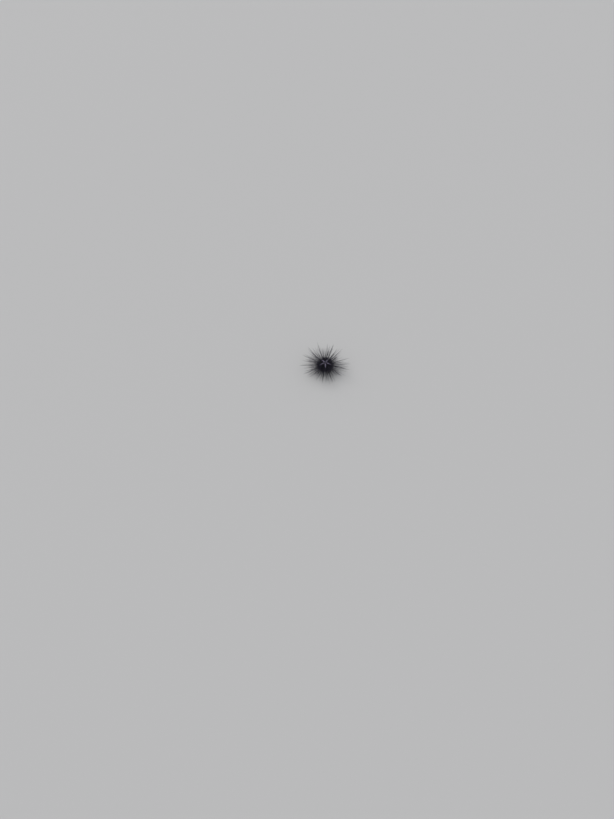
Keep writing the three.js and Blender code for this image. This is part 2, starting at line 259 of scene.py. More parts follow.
def closed_grid(name: str, rows: np.ndarray, material: bpy.types.Material) -> bpy.types.Object:
    """Makes a closed smooth surface from rings of points and a pole at each end.

    Args:
        name: the new object's name.
        rows: points in millimetres, shaped (rings, around, 3), the lowest ring first and each ring
            counter-clockwise from above. All the points of the first ring are one place, and so are those of
            the last.
        material: the surface's finish.

    Returns:
        The object, at the origin. Its vertices are the first pole, the rings, and the last pole.
    """
    rings, around = rows.shape[0] - 2, rows.shape[1]
    points = np.concatenate([rows[0, :1], rows[1:-1].reshape(-1, 3), rows[-1, :1]])
    first = 1 + np.arange(rings)[:, None] * around
    here = np.arange(around)[None, :]
    after = (here + 1) % around
    quads = np.stack(
        [first[:-1] + here, first[:-1] + after, first[1:] + after, first[1:] + here], axis=-1
    ).reshape(-1, 4)
    top = len(points) - 1
    low_cap = [(0, 1 + (a + 1) % around, 1 + a) for a in range(around)]
    last = 1 + (rings - 1) * around
    high_cap = [(top, last + a, last + (a + 1) % around) for a in range(around)]
    return add_surface(name, points, quads.tolist() + low_cap + high_cap, material)


def grid_values(values: np.ndarray) -> np.ndarray:
    """Values on a closed grid's points, shaped (rings, around), in the order of its vertices."""
    return np.concatenate([values[0, :1], values[1:-1].ravel(), values[-1, :1]])


def unwrap_grid(mesh: bpy.types.Mesh, form: "ShellForm") -> None:
    """Gives a closed grid a map of azimuth across and height along the shell's profile.

    Args:
        mesh: the grid's mesh.
        form: the shell on whose profile the heights are measured.
    """
    u, v = form.unwrap(vertex_points(mesh))
    corners = corner_vertices(mesh)
    write_uv(mesh, "Unwrap", past_seam(mesh, u[corners]), v[corners])


# The body's shape.


@dataclass(frozen=True)
class ShellForm:
    """The test's own shape: a superellipse turned about its axis, in five wide and five narrow fields.

    Sizes are millimetres and are those of the solids.
    """

    radius: float = 26.0
    dome: float = 14.5
    belly: float = 10.5
    dome_power: float = 2.15
    belly_power: float = 2.6
    ambitus: float = 20.5
    disc_radius: float = 6.5
    mouth_edge: float = 10.5
    narrow_half: float = math.radians(11)
    wide_half: float = math.radians(25)
    first_ray: float = math.radians(-87)
    pore_inset: float = 1.1  # of the tube feet's two lines, from the edges of a narrow field
    samples: int = 4001  # of the profile
    coarser: int = 10  # every so many samples are enough to find the nearest one
    at_once: int = 4000  # points whose nearest sample is looked for together

    def profile(self, latitude: np.ndarray) -> tuple[np.ndarray, np.ndarray]:
        """Radius and height above the floor at a latitude, from -pi/2 at the mouth to pi/2 at the top.

        Args:
            latitude: one angle for each place.

        Returns:
            The two values, one for each place.
        """
        below = latitude < 0
        power = np.where(below, self.belly_power, self.dome_power)
        height = np.where(below, self.belly, self.dome)
        r = self.radius * np.cos(latitude).clip(0) ** (2 / power)
        rise = height * np.abs(np.sin(latitude)) ** (2 / power)
        return r, self.ambitus + np.sign(latitude) * rise

    def meridian(self) -> tuple[np.ndarray, np.ndarray, np.ndarray]:
        """Distance along the profile from the mouth's pole, and the radius and height there.

        Returns:
            The three values, one for each sample from the mouth's pole to the top.
        """
        latitude = np.linspace(-math.pi / 2, math.pi / 2, self.samples)
        r, z = self.profile(latitude)
        steps = np.hypot(np.diff(r), np.diff(z))
        return np.concatenate([[0], np.cumsum(steps)]), r, z

    def at(self, arc: np.ndarray) -> tuple[np.ndarray, np.ndarray, np.ndarray, np.ndarray]:
        """Radius, height and the outward normal's two parts at a distance along the profile.

        Args:
            arc: distances from the mouth's pole.

        Returns:
            Radius, height, and the normal's part away from the axis and its part up.
        """
        length, r, z = self.meridian()
        step = 0.05
        ahead = np.clip(arc + step, 0, length[-1])
        behind = np.clip(arc - step, 0, length[-1])
        dr = np.interp(ahead, length, r) - np.interp(behind, length, r)
        dz = np.interp(ahead, length, z) - np.interp(behind, length, z)
        size = np.hypot(dr, dz)
        return np.interp(arc, length, r), np.interp(arc, length, z), dz / size, -dr / size

    def half(self, upper: bool) -> tuple[np.ndarray, np.ndarray]:
        """Radius, rising, and the distance along the profile at it, above or below the widest line.

        Args:
            upper: whether the half above the widest line is asked for.

        Returns:
            The radii and the distances.
        """
        length, r, _ = self.meridian()
        widest = int(np.argmax(r))
        if upper:
            return r[widest:][::-1], length[widest:][::-1]
        return r[: widest + 1], length[: widest + 1]

    def arc_at(self, radius: float | np.ndarray, upper: bool) -> float | np.ndarray:
        """Distance along the profile at which it has a radius, above or below its widest line."""
        return np.interp(radius, *self.half(upper))

    def ray_at(self, number: float) -> float:
        """Azimuth of a ray, the middle of a wide field, or of a place part of the way to the next."""
        return self.first_ray + number * TURN

    def total(self) -> float:
        """Length of the whole profile, from pole to pole."""
        return float(self.meridian()[0][-1])

    def arc_of(self, points: np.ndarray) -> np.ndarray:
        """Distance along the profile of the place on it nearest to each point.

        Args:
            points: points, shaped (count, 3).

        Returns:
            One distance for each point.
        """
        length, r, z = (values[:: self.coarser] for values in self.meridian())
        radius = np.hypot(points[:, 0], points[:, 1])
        nearest = np.empty(len(points), int)
        for start in range(0, len(points), self.at_once):
            chunk = slice(start, start + self.at_once)
            far = (radius[chunk, None] - r) ** 2 + (points[chunk, 2, None] - z) ** 2
            nearest[chunk] = far.argmin(axis=1)
        return length[nearest]

    def unwrap(self, points: np.ndarray) -> tuple[np.ndarray, np.ndarray]:
        """Places of points, in millimetres, on the skin's unwrap: azimuth across, profile length up."""
        azimuth = np.arctan2(points[:, 1], points[:, 0])
        return (azimuth / (2 * math.pi)) % 1.0, self.arc_of(points) / self.total()

    def place(self, azimuth: np.ndarray, arc: np.ndarray) -> tuple[np.ndarray, np.ndarray]:
        """Points on the shell and its outward normals there."""
        r, z, out, up = self.at(arc)
        return turned(r, azimuth, z + 0 * azimuth), turned(out, azimuth, up + 0 * azimuth)

    def field_of(self, azimuth: np.ndarray) -> tuple[np.ndarray, np.ndarray]:
        """The angle off the middle of the field at an azimuth, and whether that field is a wide one.

        Args:
            azimuth: one angle for each place.

        Returns:
            The two values, one for each place.
        """
        off_wide = (azimuth - self.first_ray + TURN / 2) % TURN - TURN / 2
        wide = np.abs(off_wide) < self.wide_half
        return np.where(wide, off_wide, off_wide - np.sign(off_wide) * TURN / 2), wide


@dataclass(frozen=True)
class StarMarking:
    """The five bare arms on the upper side, paler than the rest and edged with fine blue lines."""

    form: ShellForm
    stations: tuple[float, ...] = (5.0, 8.0, 13.0, 17.5, 21.0, 23.0)
    half_widths: tuple[float, ...] = (1.5, 1.9, 2.0, 1.6, 0.7, 0.0)

    def width(self, radius: np.ndarray) -> np.ndarray:
        """Half the arm's width at a distance from the axis."""
        return np.interp(radius, self.stations, self.half_widths)

    def arm(
        self, azimuth: np.ndarray, radius: np.ndarray, height: np.ndarray
    ) -> tuple[np.ndarray, np.ndarray]:
        """How far a place belongs to an arm, and how far to the line round it.

        Args:
            azimuth: the place's azimuth.
            radius: its distance from the axis.
            height: its height above the floor.

        Returns:
            Two shares from 0 to 1.
        """
        off, wide = self.form.field_of(azimuth)
        across = np.abs(off) * radius
        above = smooth(self.form.ambitus, self.form.ambitus + 2, height) * wide
        width = self.width(radius)
        inside = smooth(width + 0.8, width - 0.8, across) * smooth(0, 0.4, width) * above
        line = bell(across - width - 0.5, 0.28) * smooth(0, 0.6, width) * above
        return inside, line


# The spines.


@dataclass(frozen=True)
class GirthPattern:
    """How the spines of a set differ in girth from their neighbours, so that bold and slim ones mix."""

    apart: float  # least angle between two bold spines
    bold: float  # how much thicker those are
    slim: float  # how much thinner the others are
    boldest: float = 0.0  # how much thicker the picture's boldest one is, or 0 for a set without it
    heading: float = math.radians(-45)  # of the boldest, towards the picture's lower right
    for_length: float = 0.0006  # how much a millimetre of length counts when the boldest is chosen
    none_bold: float = 1.7  # how many times `apart` reaches the ground round it where no other is bold
    beside_it: float = 0.65  # share of the slim girth that the spines within `apart` of it have


@dataclass(frozen=True)
class SpineSet:
    """Spines in the row frame, in millimetres: roots, unit directions, lengths and base radii."""

    roots: np.ndarray
    directions: np.ndarray
    lengths: np.ndarray
    girths: np.ndarray

    def count(self) -> int:
        """How many spines the set holds."""
        return len(self.lengths)

    def arrays(self) -> tuple[np.ndarray, ...]:
        """The set's four arrays, in the order of its fields."""
        return self.roots, self.directions, self.lengths, self.girths

    def joined(self, other: "SpineSet") -> "SpineSet":
        """This set followed by another."""
        return SpineSet(*(np.concatenate(pair) for pair in zip(self.arrays(), other.arrays())))

    def since(self, start: int) -> "SpineSet":
        """The spines from this number on."""
        return SpineSet(*(values[start:] for values in self.arrays()))

    def varied(self, pattern: GirthPattern) -> "SpineSet":
        """Makes some spines, that point well apart from each other, bolder than those between them.

        Args:
            pattern: how far apart they point and how thick each kind is.

        Returns:
            The set with its new girths.
        """
        chosen: list[int] = []
        for i in np.argsort(-self.lengths):
            if not chosen or (self.directions[chosen] @ self.directions[i]).max() < math.cos(pattern.apart):
                chosen.append(int(i))
        factor = np.full(self.count(), pattern.slim)
        factor[chosen] = pattern.bold
        if pattern.boldest:
            toward, _ = horizontal(pattern.heading)
            one = int(np.argmax(self.directions @ toward + pattern.for_length * self.lengths))
            nearness = self.directions @ self.directions[one]
            factor[nearness > math.cos(pattern.none_bold * pattern.apart)] = pattern.slim
            factor[nearness > math.cos(pattern.apart)] = pattern.beside_it * pattern.slim
            factor[one] = pattern.boldest
        return SpineSet(self.roots, self.directions, self.lengths, self.girths * factor)

    def gap_to(self, root: np.ndarray, direction: np.ndarray, length: float) -> np.ndarray:
        """The least distance between one more spine's middle line and each of these.

        Args:
            root: the other spine's root.
            direction: its unit direction.
            length: its length.

        Returns:
            One distance for each spine of the set.
        """
        between = root - self.roots
        cross = self.directions @ direction
        from_one = between @ direction
        from_set = (between * self.directions).sum(axis=1)
        spread = np.maximum(1 - cross**2, 1e-9)
        s = np.clip((cross * from_set - from_one) / spread, 0, length)
        t = np.clip(cross * s + from_set, 0, self.lengths)
        s = np.clip(cross * t - from_one, 0, length)
        gap = root + s[:, None] * direction - self.roots - t[:, None] * self.directions
        return np.linalg.norm(gap, axis=1)


@dataclass(frozen=True)
class SpineReader:
    """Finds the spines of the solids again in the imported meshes.

    A free spine ends in one vertex whose neighbours are the spine's middle ring, and a standing one ends in a
    small flat on the floor.
    """

    middle_at: float = 0.45  # where along a spine of the solids its middle ring sits
    ring_corners: int = 5
    widest_tip: float = 0.14  # a tip's cone is at most this wide for its length
    tip_slack: float = 0.35  # and this much more
    shortest: float = 5.0
    floor_within: float = 0.12  # a vertex this near the floor belongs to a standing spine's flat

    def read(self, nodes: list[bpy.types.Object]) -> SpineSet:
        """Reads all the spines of some CAD nodes.

        Args:
            nodes: the CAD node objects.

        Returns:
            The spines, with a girth that suits the living animal.
        """
        found = [spine for node in nodes for spine in self.read_node(node)]
        roots = np.array([root for root, _, _ in found])
        directions = np.array([direction for _, direction, _ in found])
        lengths = np.array([length for _, _, length in found])
        return SpineSet(roots, directions, lengths, SpineGirths().long(lengths, roots[:, 2]))

    def read_node(self, node: bpy.types.Object) -> list[tuple[np.ndarray, np.ndarray, float]]:
        """Reads one node's spines as root, direction and length.

        Args:
            node: the CAD node's object.

        Returns:
            One root, direction and length for each spine.
        """
        mesh = node.data
        places, same = np.unique(np.round(vertex_points(mesh), 3), axis=0, return_inverse=True)
        same = same.ravel()
        edges = np.zeros(len(mesh.edges) * 2, np.int32)
        mesh.edges.foreach_get("vertices", edges)
        near: list[set[int]] = [set() for _ in places]
        for a, b in same[edges.reshape(-1, 2)]:
            if a != b:
                near[a].add(int(b))
                near[b].add(int(a))
        spines = []
        done: set[int] = set()
        for vertex, around in enumerate(near):
            if abs(places[vertex][2]) < self.floor_within:
                if vertex in done:
                    continue
                flat, ring = self.flat_of(vertex, near, places)
                done |= flat
                spine = self.spine_between(places[sorted(ring)], places[sorted(flat)].mean(axis=0))
            else:
                spine = self.spine_between(places[sorted(around)], places[vertex])
            if spine:
                spines.append(spine)
        return spines

    def flat_of(
        self, vertex: int, near: list[set[int]], places: np.ndarray
    ) -> tuple[set[int], set[int]]:
        """The vertices of the flat that one vertex belongs to, and the ring above it.

        Args:
            vertex: a vertex on the floor.
            near: the neighbours of each vertex.
            places: the place of each vertex.

        Returns:
            The flat's vertices and the ring's.
        """
        flat, ring, waiting = {vertex}, set(), [vertex]
        while waiting:
            for other in near[waiting.pop()]:
                if abs(places[other][2]) >= self.floor_within:
                    ring.add(other)
                elif other not in flat:
                    flat.add(other)
                    waiting.append(other)
        return flat, ring

    def spine_between(
        self, ring: np.ndarray, tip: np.ndarray
    ) -> tuple[np.ndarray, np.ndarray, float] | None:
        """The spine that has this middle ring and tip, or None where they are not a spine's.

        Args:
            ring: the points of a ring that may be a spine's.
            tip: the point that may be its tip.

        Returns:
            The root, direction and length, or None.
        """
        if len(ring) != self.ring_corners:
            return None
        middle = ring.mean(axis=0)
        axis = tip - middle
        upper = float(np.linalg.norm(axis))
        spread = float(np.linalg.norm(ring - middle, axis=1).max())
        length = upper / (1 - self.middle_at)
        if length < self.shortest or spread > self.widest_tip * upper + self.tip_slack:
            return None
        direction = axis / upper
        return tip - direction * length, direction, length


@dataclass(frozen=True)
class SpineGirths:
    """Radius of a spine's shaft at its base, for its length, as on the living animal.

    The spines round the disc and those on the underside are the slimmest.
    """

    least: float = 0.32
    for_each_mm: float = 0.006
    short_least: float = 0.15
    short_for_each_mm: float = 0.009
    slimmer_on_dome: float = 0.36
    slimmer_on_belly: float = 0.34
    dome: tuple[float, float] = (22.0, 33.0)  # heights where it begins to count and counts in full
    belly: tuple[float, float] = (19.0, 12.0)

    def long(self, lengths: np.ndarray, heights: np.ndarray) -> np.ndarray:
        """Base radii of long and middle spines, by their lengths and their roots' heights.

        Args:
            lengths: the spines' lengths.
            heights: their roots' heights above the floor.

        Returns:
            One radius for each spine.
        """
        on_dome = smooth(*self.dome, heights)
        on_belly = smooth(*self.belly, heights)
        slimmer = 1 - self.slimmer_on_dome * on_dome - self.slimmer_on_belly * on_belly
        return (self.least + self.for_each_mm * lengths) * slimmer

    def short(self, lengths: np.ndarray) -> np.ndarray:
        """Base radii of the short spines."""
        return self.short_least + self.short_for_each_mm * lengths


@dataclass(frozen=True)
class FillingSpines:
    """Grows the spines that stand between those of the solids, each leaning as its neighbours do."""

    form: ShellForm
    star: StarMarking
    seed: int
    tries: int
    wanted: int
    star_margin: float  # least distance between a root and an arm of the star
    root_gap: float  # least distance between two roots
    air: float  # least distance between two shafts' middle lines
    share: tuple[float, float]  # of the neighbours' length
    longest: float
    fewer_off_widest: float  # share of the spines left out high on the dome and low on the belly
    upright: float  # how far it leans out of the shell instead of along with its neighbours
    sway: float
    short: bool
    shortest: float = 4.0
    edge_margin: float = 1.0  # between the roots and the disc or the mouth skin
    neighbours: int = 5
    neighbours_within: float = 5.0  # where a neighbour's weight falls off
    widest: tuple[float, float] = (3.0, 9.0)  # heights off the widest line that count as near and as far
    least_rise: float = 0.05  # out of the shell's surface, as a share of the length
    above: float = 0.6  # height of a tip above the floor

    def candidates(self, random: np.random.Generator) -> tuple[np.ndarray, np.ndarray]:
        """Draws roots all over the shell, fewer towards its poles, and leaves out those on the star.

        Args:
            random: where the draws come from.

        Returns:
            The roots and the shell's normals there.
        """
        low = self.form.arc_at(self.form.mouth_edge + self.edge_margin, upper=False)
        high = self.form.arc_at(self.form.disc_radius + self.edge_margin, upper=True)
        arcs = random.uniform(low, high, self.tries)
        azimuths = random.uniform(-math.pi, math.pi, self.tries)
        radii = self.form.at(arcs)[0]
        chances = random.uniform(0, self.form.radius, self.tries) < radii
        roots, normals = self.form.place(azimuths, arcs)
        off_widest = smooth(*self.widest, np.abs(roots[:, 2] - self.form.ambitus))
        chances &= random.uniform(0, 1, self.tries) > self.fewer_off_widest * off_widest
        bare = self.star.width(radii) + self.star_margin
        off, wide = self.form.field_of(azimuths)
        on_arm = (radii < self.star.stations[-1]) & (np.abs(off) * radii < bare)
        on_star = wide & (roots[:, 2] > self.form.ambitus) & on_arm
        return roots[chances & ~on_star], normals[chances & ~on_star]

    def grow(self, guides: SpineSet, present: SpineSet) -> SpineSet:
        """Grows spines one at a time and keeps each that is clear of all the others.

        Args:
            guides: the spines of the solids, whose lean and length are followed.
            present: the spines that are there already.

        Returns:
            The new spines.
        """
        random = np.random.default_rng(self.seed)
        everyone = present
        for root, normal in zip(*self.candidates(random)):
            if np.linalg.norm(everyone.roots - root, axis=1).min() < self.root_gap:
                continue
            far = np.linalg.norm(guides.roots - root, axis=1)
            nearest = np.argsort(far)[: self.neighbours]
            weights = bell(far[nearest], self.neighbours_within) + 1e-6
            lean = (guides.directions[nearest] * weights[:, None]).sum(axis=0)
            lean = unit(unit(lean) * (1 - self.upright) + normal * self.upright)
            direction = unit(lean + self.sway * random.normal(size=3))
            if direction @ normal < self.least_rise:
                continue
            length = float((guides.lengths[nearest] * weights).sum() / weights.sum())
            length = min(length * random.uniform(*self.share), self.longest)
            length = self.above_floor(root, direction, length)
            if length < self.shortest or everyone.gap_to(root, direction, length).min() < self.air:
                continue
            lengths = np.array([length])
            girths = SpineGirths().short(lengths) if self.short else SpineGirths().long(lengths, root[2:])
            everyone = everyone.joined(SpineSet(root[None], direction[None], lengths, girths))
            if everyone.count() == present.count() + self.wanted:
                break
        return everyone.since(present.count())

    def above_floor(self, root: np.ndarray, direction: np.ndarray, length: float) -> float:
        """The length cut so that the tip stays just above the floor.

        Args:
            root: the spine's root.
            direction: its unit direction.
            length: the length that it would have.

        Returns:
            The length that it gets.
        """
        if direction[2] >= 0:
            return length
        return min(length, (root[2] - self.above) / -direction[2])


class Station(Enum):
    """The rings of a spine: distance from its root in mm, then share of its length, then of its girth."""

    FOOT = (-0.7, 0.0, 2.1)
    COLLAR = (0.45, 0.0, 1.85)
    NECK = (1.1, 0.0, 1.2)
    MILLED_RING = (1.55, 0.0, 1.5)
    SHAFT = (2.1, 0.0, 1.0)
    LOWER = (1.4, 0.3, 0.96)
    MIDDLE = (0.8, 0.6, 0.86)
    UPPER = (0.3, 0.84, 0.6)
    TIP = (0.0, 1.0, 0.12)


SHORT_STATIONS = (Station.FOOT, Station.COLLAR, Station.SHAFT, Station.MIDDLE, Station.TIP)


@dataclass
class Strands:
    """Many thin bodies as lines of points, which Geometry Nodes turn into closed tapering sleeves.

    Attributes:
        name: the piece's name.
        material: its finish.
        sides: facets round each strand.
        form: the shell on whose unwrap each strand has its place.
    """

    name: str
    material: bpy.types.Material
    sides: int
    form: ShellForm
    points: list[np.ndarray] = field(default_factory=list)
    girths: list[np.ndarray] = field(default_factory=list)
    tones: list[float] = field(default_factory=list)

    def add(self, points: np.ndarray, girths: np.ndarray, tone: float) -> None:
        """Adds one strand.

        Args:
            points: its middle line, root first, in millimetres.
            girths: its radius at each point.
            tone: a number from 0 to 1 by which its colour differs from the others'.
        """
        self.points.append(points)
        self.girths.append(girths)
        self.tones.append(tone)

    def add_spines(self, spines: SpineSet, stations: tuple[Station, ...], bow: float, seed: int) -> None:
        """Adds a set of spines, each a little bowed to a side of its own.

        Args:
            spines: the spines.
            stations: the rings that each has.
            bow: the most that its middle stands off a straight line, as a share of its length.
            seed: seed of the bows and tones.
        """
        random = np.random.default_rng(seed)
        near, share, thick = np.array([station.value for station in stations]).T
        shaft_from = Station.SHAFT.value[0]
        for root, direction, length, girth in zip(*spines.arrays()):
            along = near + share * (length - shaft_from * (share > 0))
            along[-1] = length
            side = unit(np.cross(direction, random.normal(size=3)))
            u = np.clip(along / length, 0, 1)
            bend = bow * length * random.uniform(0.2, 1) * 4 * u * (1 - u)
            points = root + along[:, None] * direction + bend[:, None] * side
            self.add(points, thick * girth, float(random.uniform()))

    def lines(self) -> bpy.types.Object:
        """Makes one mesh of edges that holds every strand's middle line and its attributes.

        Returns:
            The object that carries the lines.
        """
        mesh = bpy.data.meshes.new(self.name)
        counts = [len(points) for points in self.points]
        starts = np.concatenate([[0], np.cumsum(counts)])[:-1]
        edges = [(int(s) + i, int(s) + i + 1) for s, n in zip(starts, counts) for i in range(n - 1)]
        mesh.from_pydata((np.concatenate(self.points) * MM).tolist(), edges, [])
        along, reach = [], []
        for points in self.points:
            steps = np.linalg.norm(np.diff(points, axis=0), axis=1)
            length = np.concatenate([[0], np.cumsum(steps)])
            along.append(length)
            reach.append(length / length[-1])
        home_u, home_v = self.form.unwrap(np.array([points[0] for points in self.points]))
        inset = 2 * BAKE_PATCH
        home_u = np.clip(home_u, inset, 1 - inset)
        columns = {
            "girth": np.concatenate(self.girths) * MM,
            "along": np.concatenate(along),
            "reach": np.concatenate(reach),
            "tone": np.repeat(self.tones, counts),
            "home_u": np.repeat(home_u, counts),
            "home_v": np.repeat(home_v, counts),
        }
        for name, values in columns.items():
            write_attribute(mesh, name, values)
        return add_object(self.name, mesh)

    def tree(self) -> bpy.types.NodeTree:
        """Builds the tree that sleeves each line with a ring of sides, as thick as its girth says.

        Returns:
            The tree, with the inputs Sides, Thickness and Finish.
        """
        tree = bpy.data.node_groups.new(f"{self.name} sleeves", "GeometryNodeTree")
        sockets = {"Geometry": "Geometry", "Sides": "Int", "Thickness": "Float", "Finish": "Material"}
        for name, kind in sockets.items():
            tree.interface.new_socket(name, in_out="INPUT", socket_type=f"NodeSocket{kind}")
        tree.interface.new_socket("Geometry", in_out="OUTPUT", socket_type="NodeSocketGeometry")
        source = add_node(tree, "NodeGroupInput").outputs
        lines = add_node(tree, "GeometryNodeMeshToCurve", {"Mesh": source["Geometry"]})
        girth = add_node(tree, "GeometryNodeInputNamedAttribute", {"Name": "girth"}, data_type="FLOAT")
        scale = add_node(
            tree,
            "ShaderNodeMath",
            {0: girth.outputs["Attribute"], 1: source["Thickness"]},
            operation="MULTIPLY",
        )
        ring = add_node(
            tree, "GeometryNodeCurvePrimitiveCircle", {"Resolution": source["Sides"], "Radius": 1.0}
        )
        place = add_node(tree, "GeometryNodeSplineParameter")
        marked = add_node(
            tree,
            "GeometryNodeStoreNamedAttribute",
            {"Geometry": ring.outputs["Curve"], "Name": "around", "Value": place.outputs["Factor"]},
            data_type="FLOAT",
            domain="POINT",
        )
        sleeve = add_node(
            tree,
            "GeometryNodeCurveToMesh",
            {
                "Curve": lines.outputs["Curve"],
                "Profile Curve": marked.outputs["Geometry"],
                "Scale": scale.outputs[0],
                "Fill Caps": True,
            },
        )
        shaded = add_node(tree, "GeometryNodeSetShadeSmooth", {"Geometry": sleeve.outputs["Mesh"]})
        real = add_node(tree, "GeometryNodeRealizeInstances", {"Geometry": shaded.outputs["Geometry"]})
        dressed = add_node(
            tree,
            "GeometryNodeSetMaterial",
            {"Geometry": real.outputs["Geometry"], "Material": source["Finish"]},
        )
        add_node(tree, "NodeGroupOutput", {"Geometry": dressed.outputs["Geometry"]})
        return tree

    def build(self) -> bpy.types.Object:
        """Sleeves the lines and turns the result into a plain mesh with its two maps.

        Returns:
            The piece, at the origin, with the maps OFBake and Shaft.
        """
        piece = self.lines()
        modifier = piece.modifiers.new("Sleeves", "NODES")
        tree = self.tree()
        modifier.node_group = tree
        values = {"Sides": self.sides, "Thickness": 1.0, "Finish": self.material}
        for item in tree.interface.items_tree:
            if item.in_out == "INPUT" and item.name in values:
                modifier[item.identifier] = values[item.name]
        evaluated = piece.evaluated_get(bpy.context.evaluated_depsgraph_get())
        mesh = bpy.data.meshes.new_from_object(evaluated)
        mesh.name = self.name
        piece.modifiers.clear()
        piece.data = mesh
        bpy.data.node_groups.remove(tree)
        self.write_maps(mesh)
        return piece

    def write_maps(self, mesh: bpy.types.Mesh) -> None:
        """Writes the bake map, where a strand is a small patch at its root, and the map along its shaft.

        Args:
            mesh: the sleeved mesh, which carries the lines' attributes.
        """
        corners = corner_vertices(mesh)
        around, reach, home_u, home_v, along = (
            read_attribute(mesh, name)[corners] for name in ("around", "reach", "home_u", "home_v", "along")
        )
        around = past_seam(mesh, around)
        write_uv(mesh, "OFBake", home_u + BAKE_PATCH * around, home_v + BAKE_PATCH * reach)
        write_uv(mesh, "Shaft", around, along)
        mesh.uv_layers.active = mesh.uv_layers["OFBake"]


# Finishes.


@dataclass(frozen=True)
class Finish:
    """A material with one principled surface, whose inputs each kind of finish works out for itself."""

    name: str

    def inputs(self, tree: bpy.types.NodeTree) -> dict:
        """Adds the finish's own nodes to the tree.

        Args:
            tree: the material's empty tree.

        Returns:
            What goes into the surface's sockets.
        """
        raise NotImplementedError

    def build(self) -> bpy.types.Material:
        """Makes the material.

        Returns:
            The material.
        """
        material = bpy.data.materials.new(self.name)
        material.use_nodes = True
        tree = material.node_tree
        tree.nodes.clear()
        shader = add_node(tree, "ShaderNodeBsdfPrincipled", self.inputs(tree))
        add_node(tree, "ShaderNodeOutputMaterial", {"Surface": shader.outputs["BSDF"]})
        return material


@dataclass(frozen=True)
class Mottle:
    """Soft patches of a second colour over a first one."""

    size_mm: float
    begins: float  # the noise at which the second colour begins
    whole: float  # and at which it has its full share
    detail: float = 4.0
    share: float = 1.0

    def over(
        self,
        tree: bpy.types.NodeTree,
        place: bpy.types.NodeSocket,
        first: bpy.types.NodeSocket | tuple[float, ...],
        second: tuple[float, ...],
    ) -> bpy.types.NodeSocket:
        """Adds the patches to a tree.

        Args:
            tree: the material's tree.
            place: the place on the object.
            first: the colour between the patches.
            second: the colour of the patches.

        Returns:
            The two colours together.
        """
        scale = 1 / (self.size_mm * MM)
        noise = add_node(tree, "ShaderNodeTexNoise", {"Vector": place, "Scale": scale, "Detail": self.detail})
        limits = {"From Min": self.begins, "From Max": self.whole, "To Max": self.share}
        patches = add_node(tree, "ShaderNodeMapRange", {"Value": noise.outputs["Fac"], **limits})
        colours = {0: patches.outputs["Result"], 6: first, 7: second}
        return add_node(tree, "ShaderNodeMix", colours, data_type="RGBA").outputs[2]


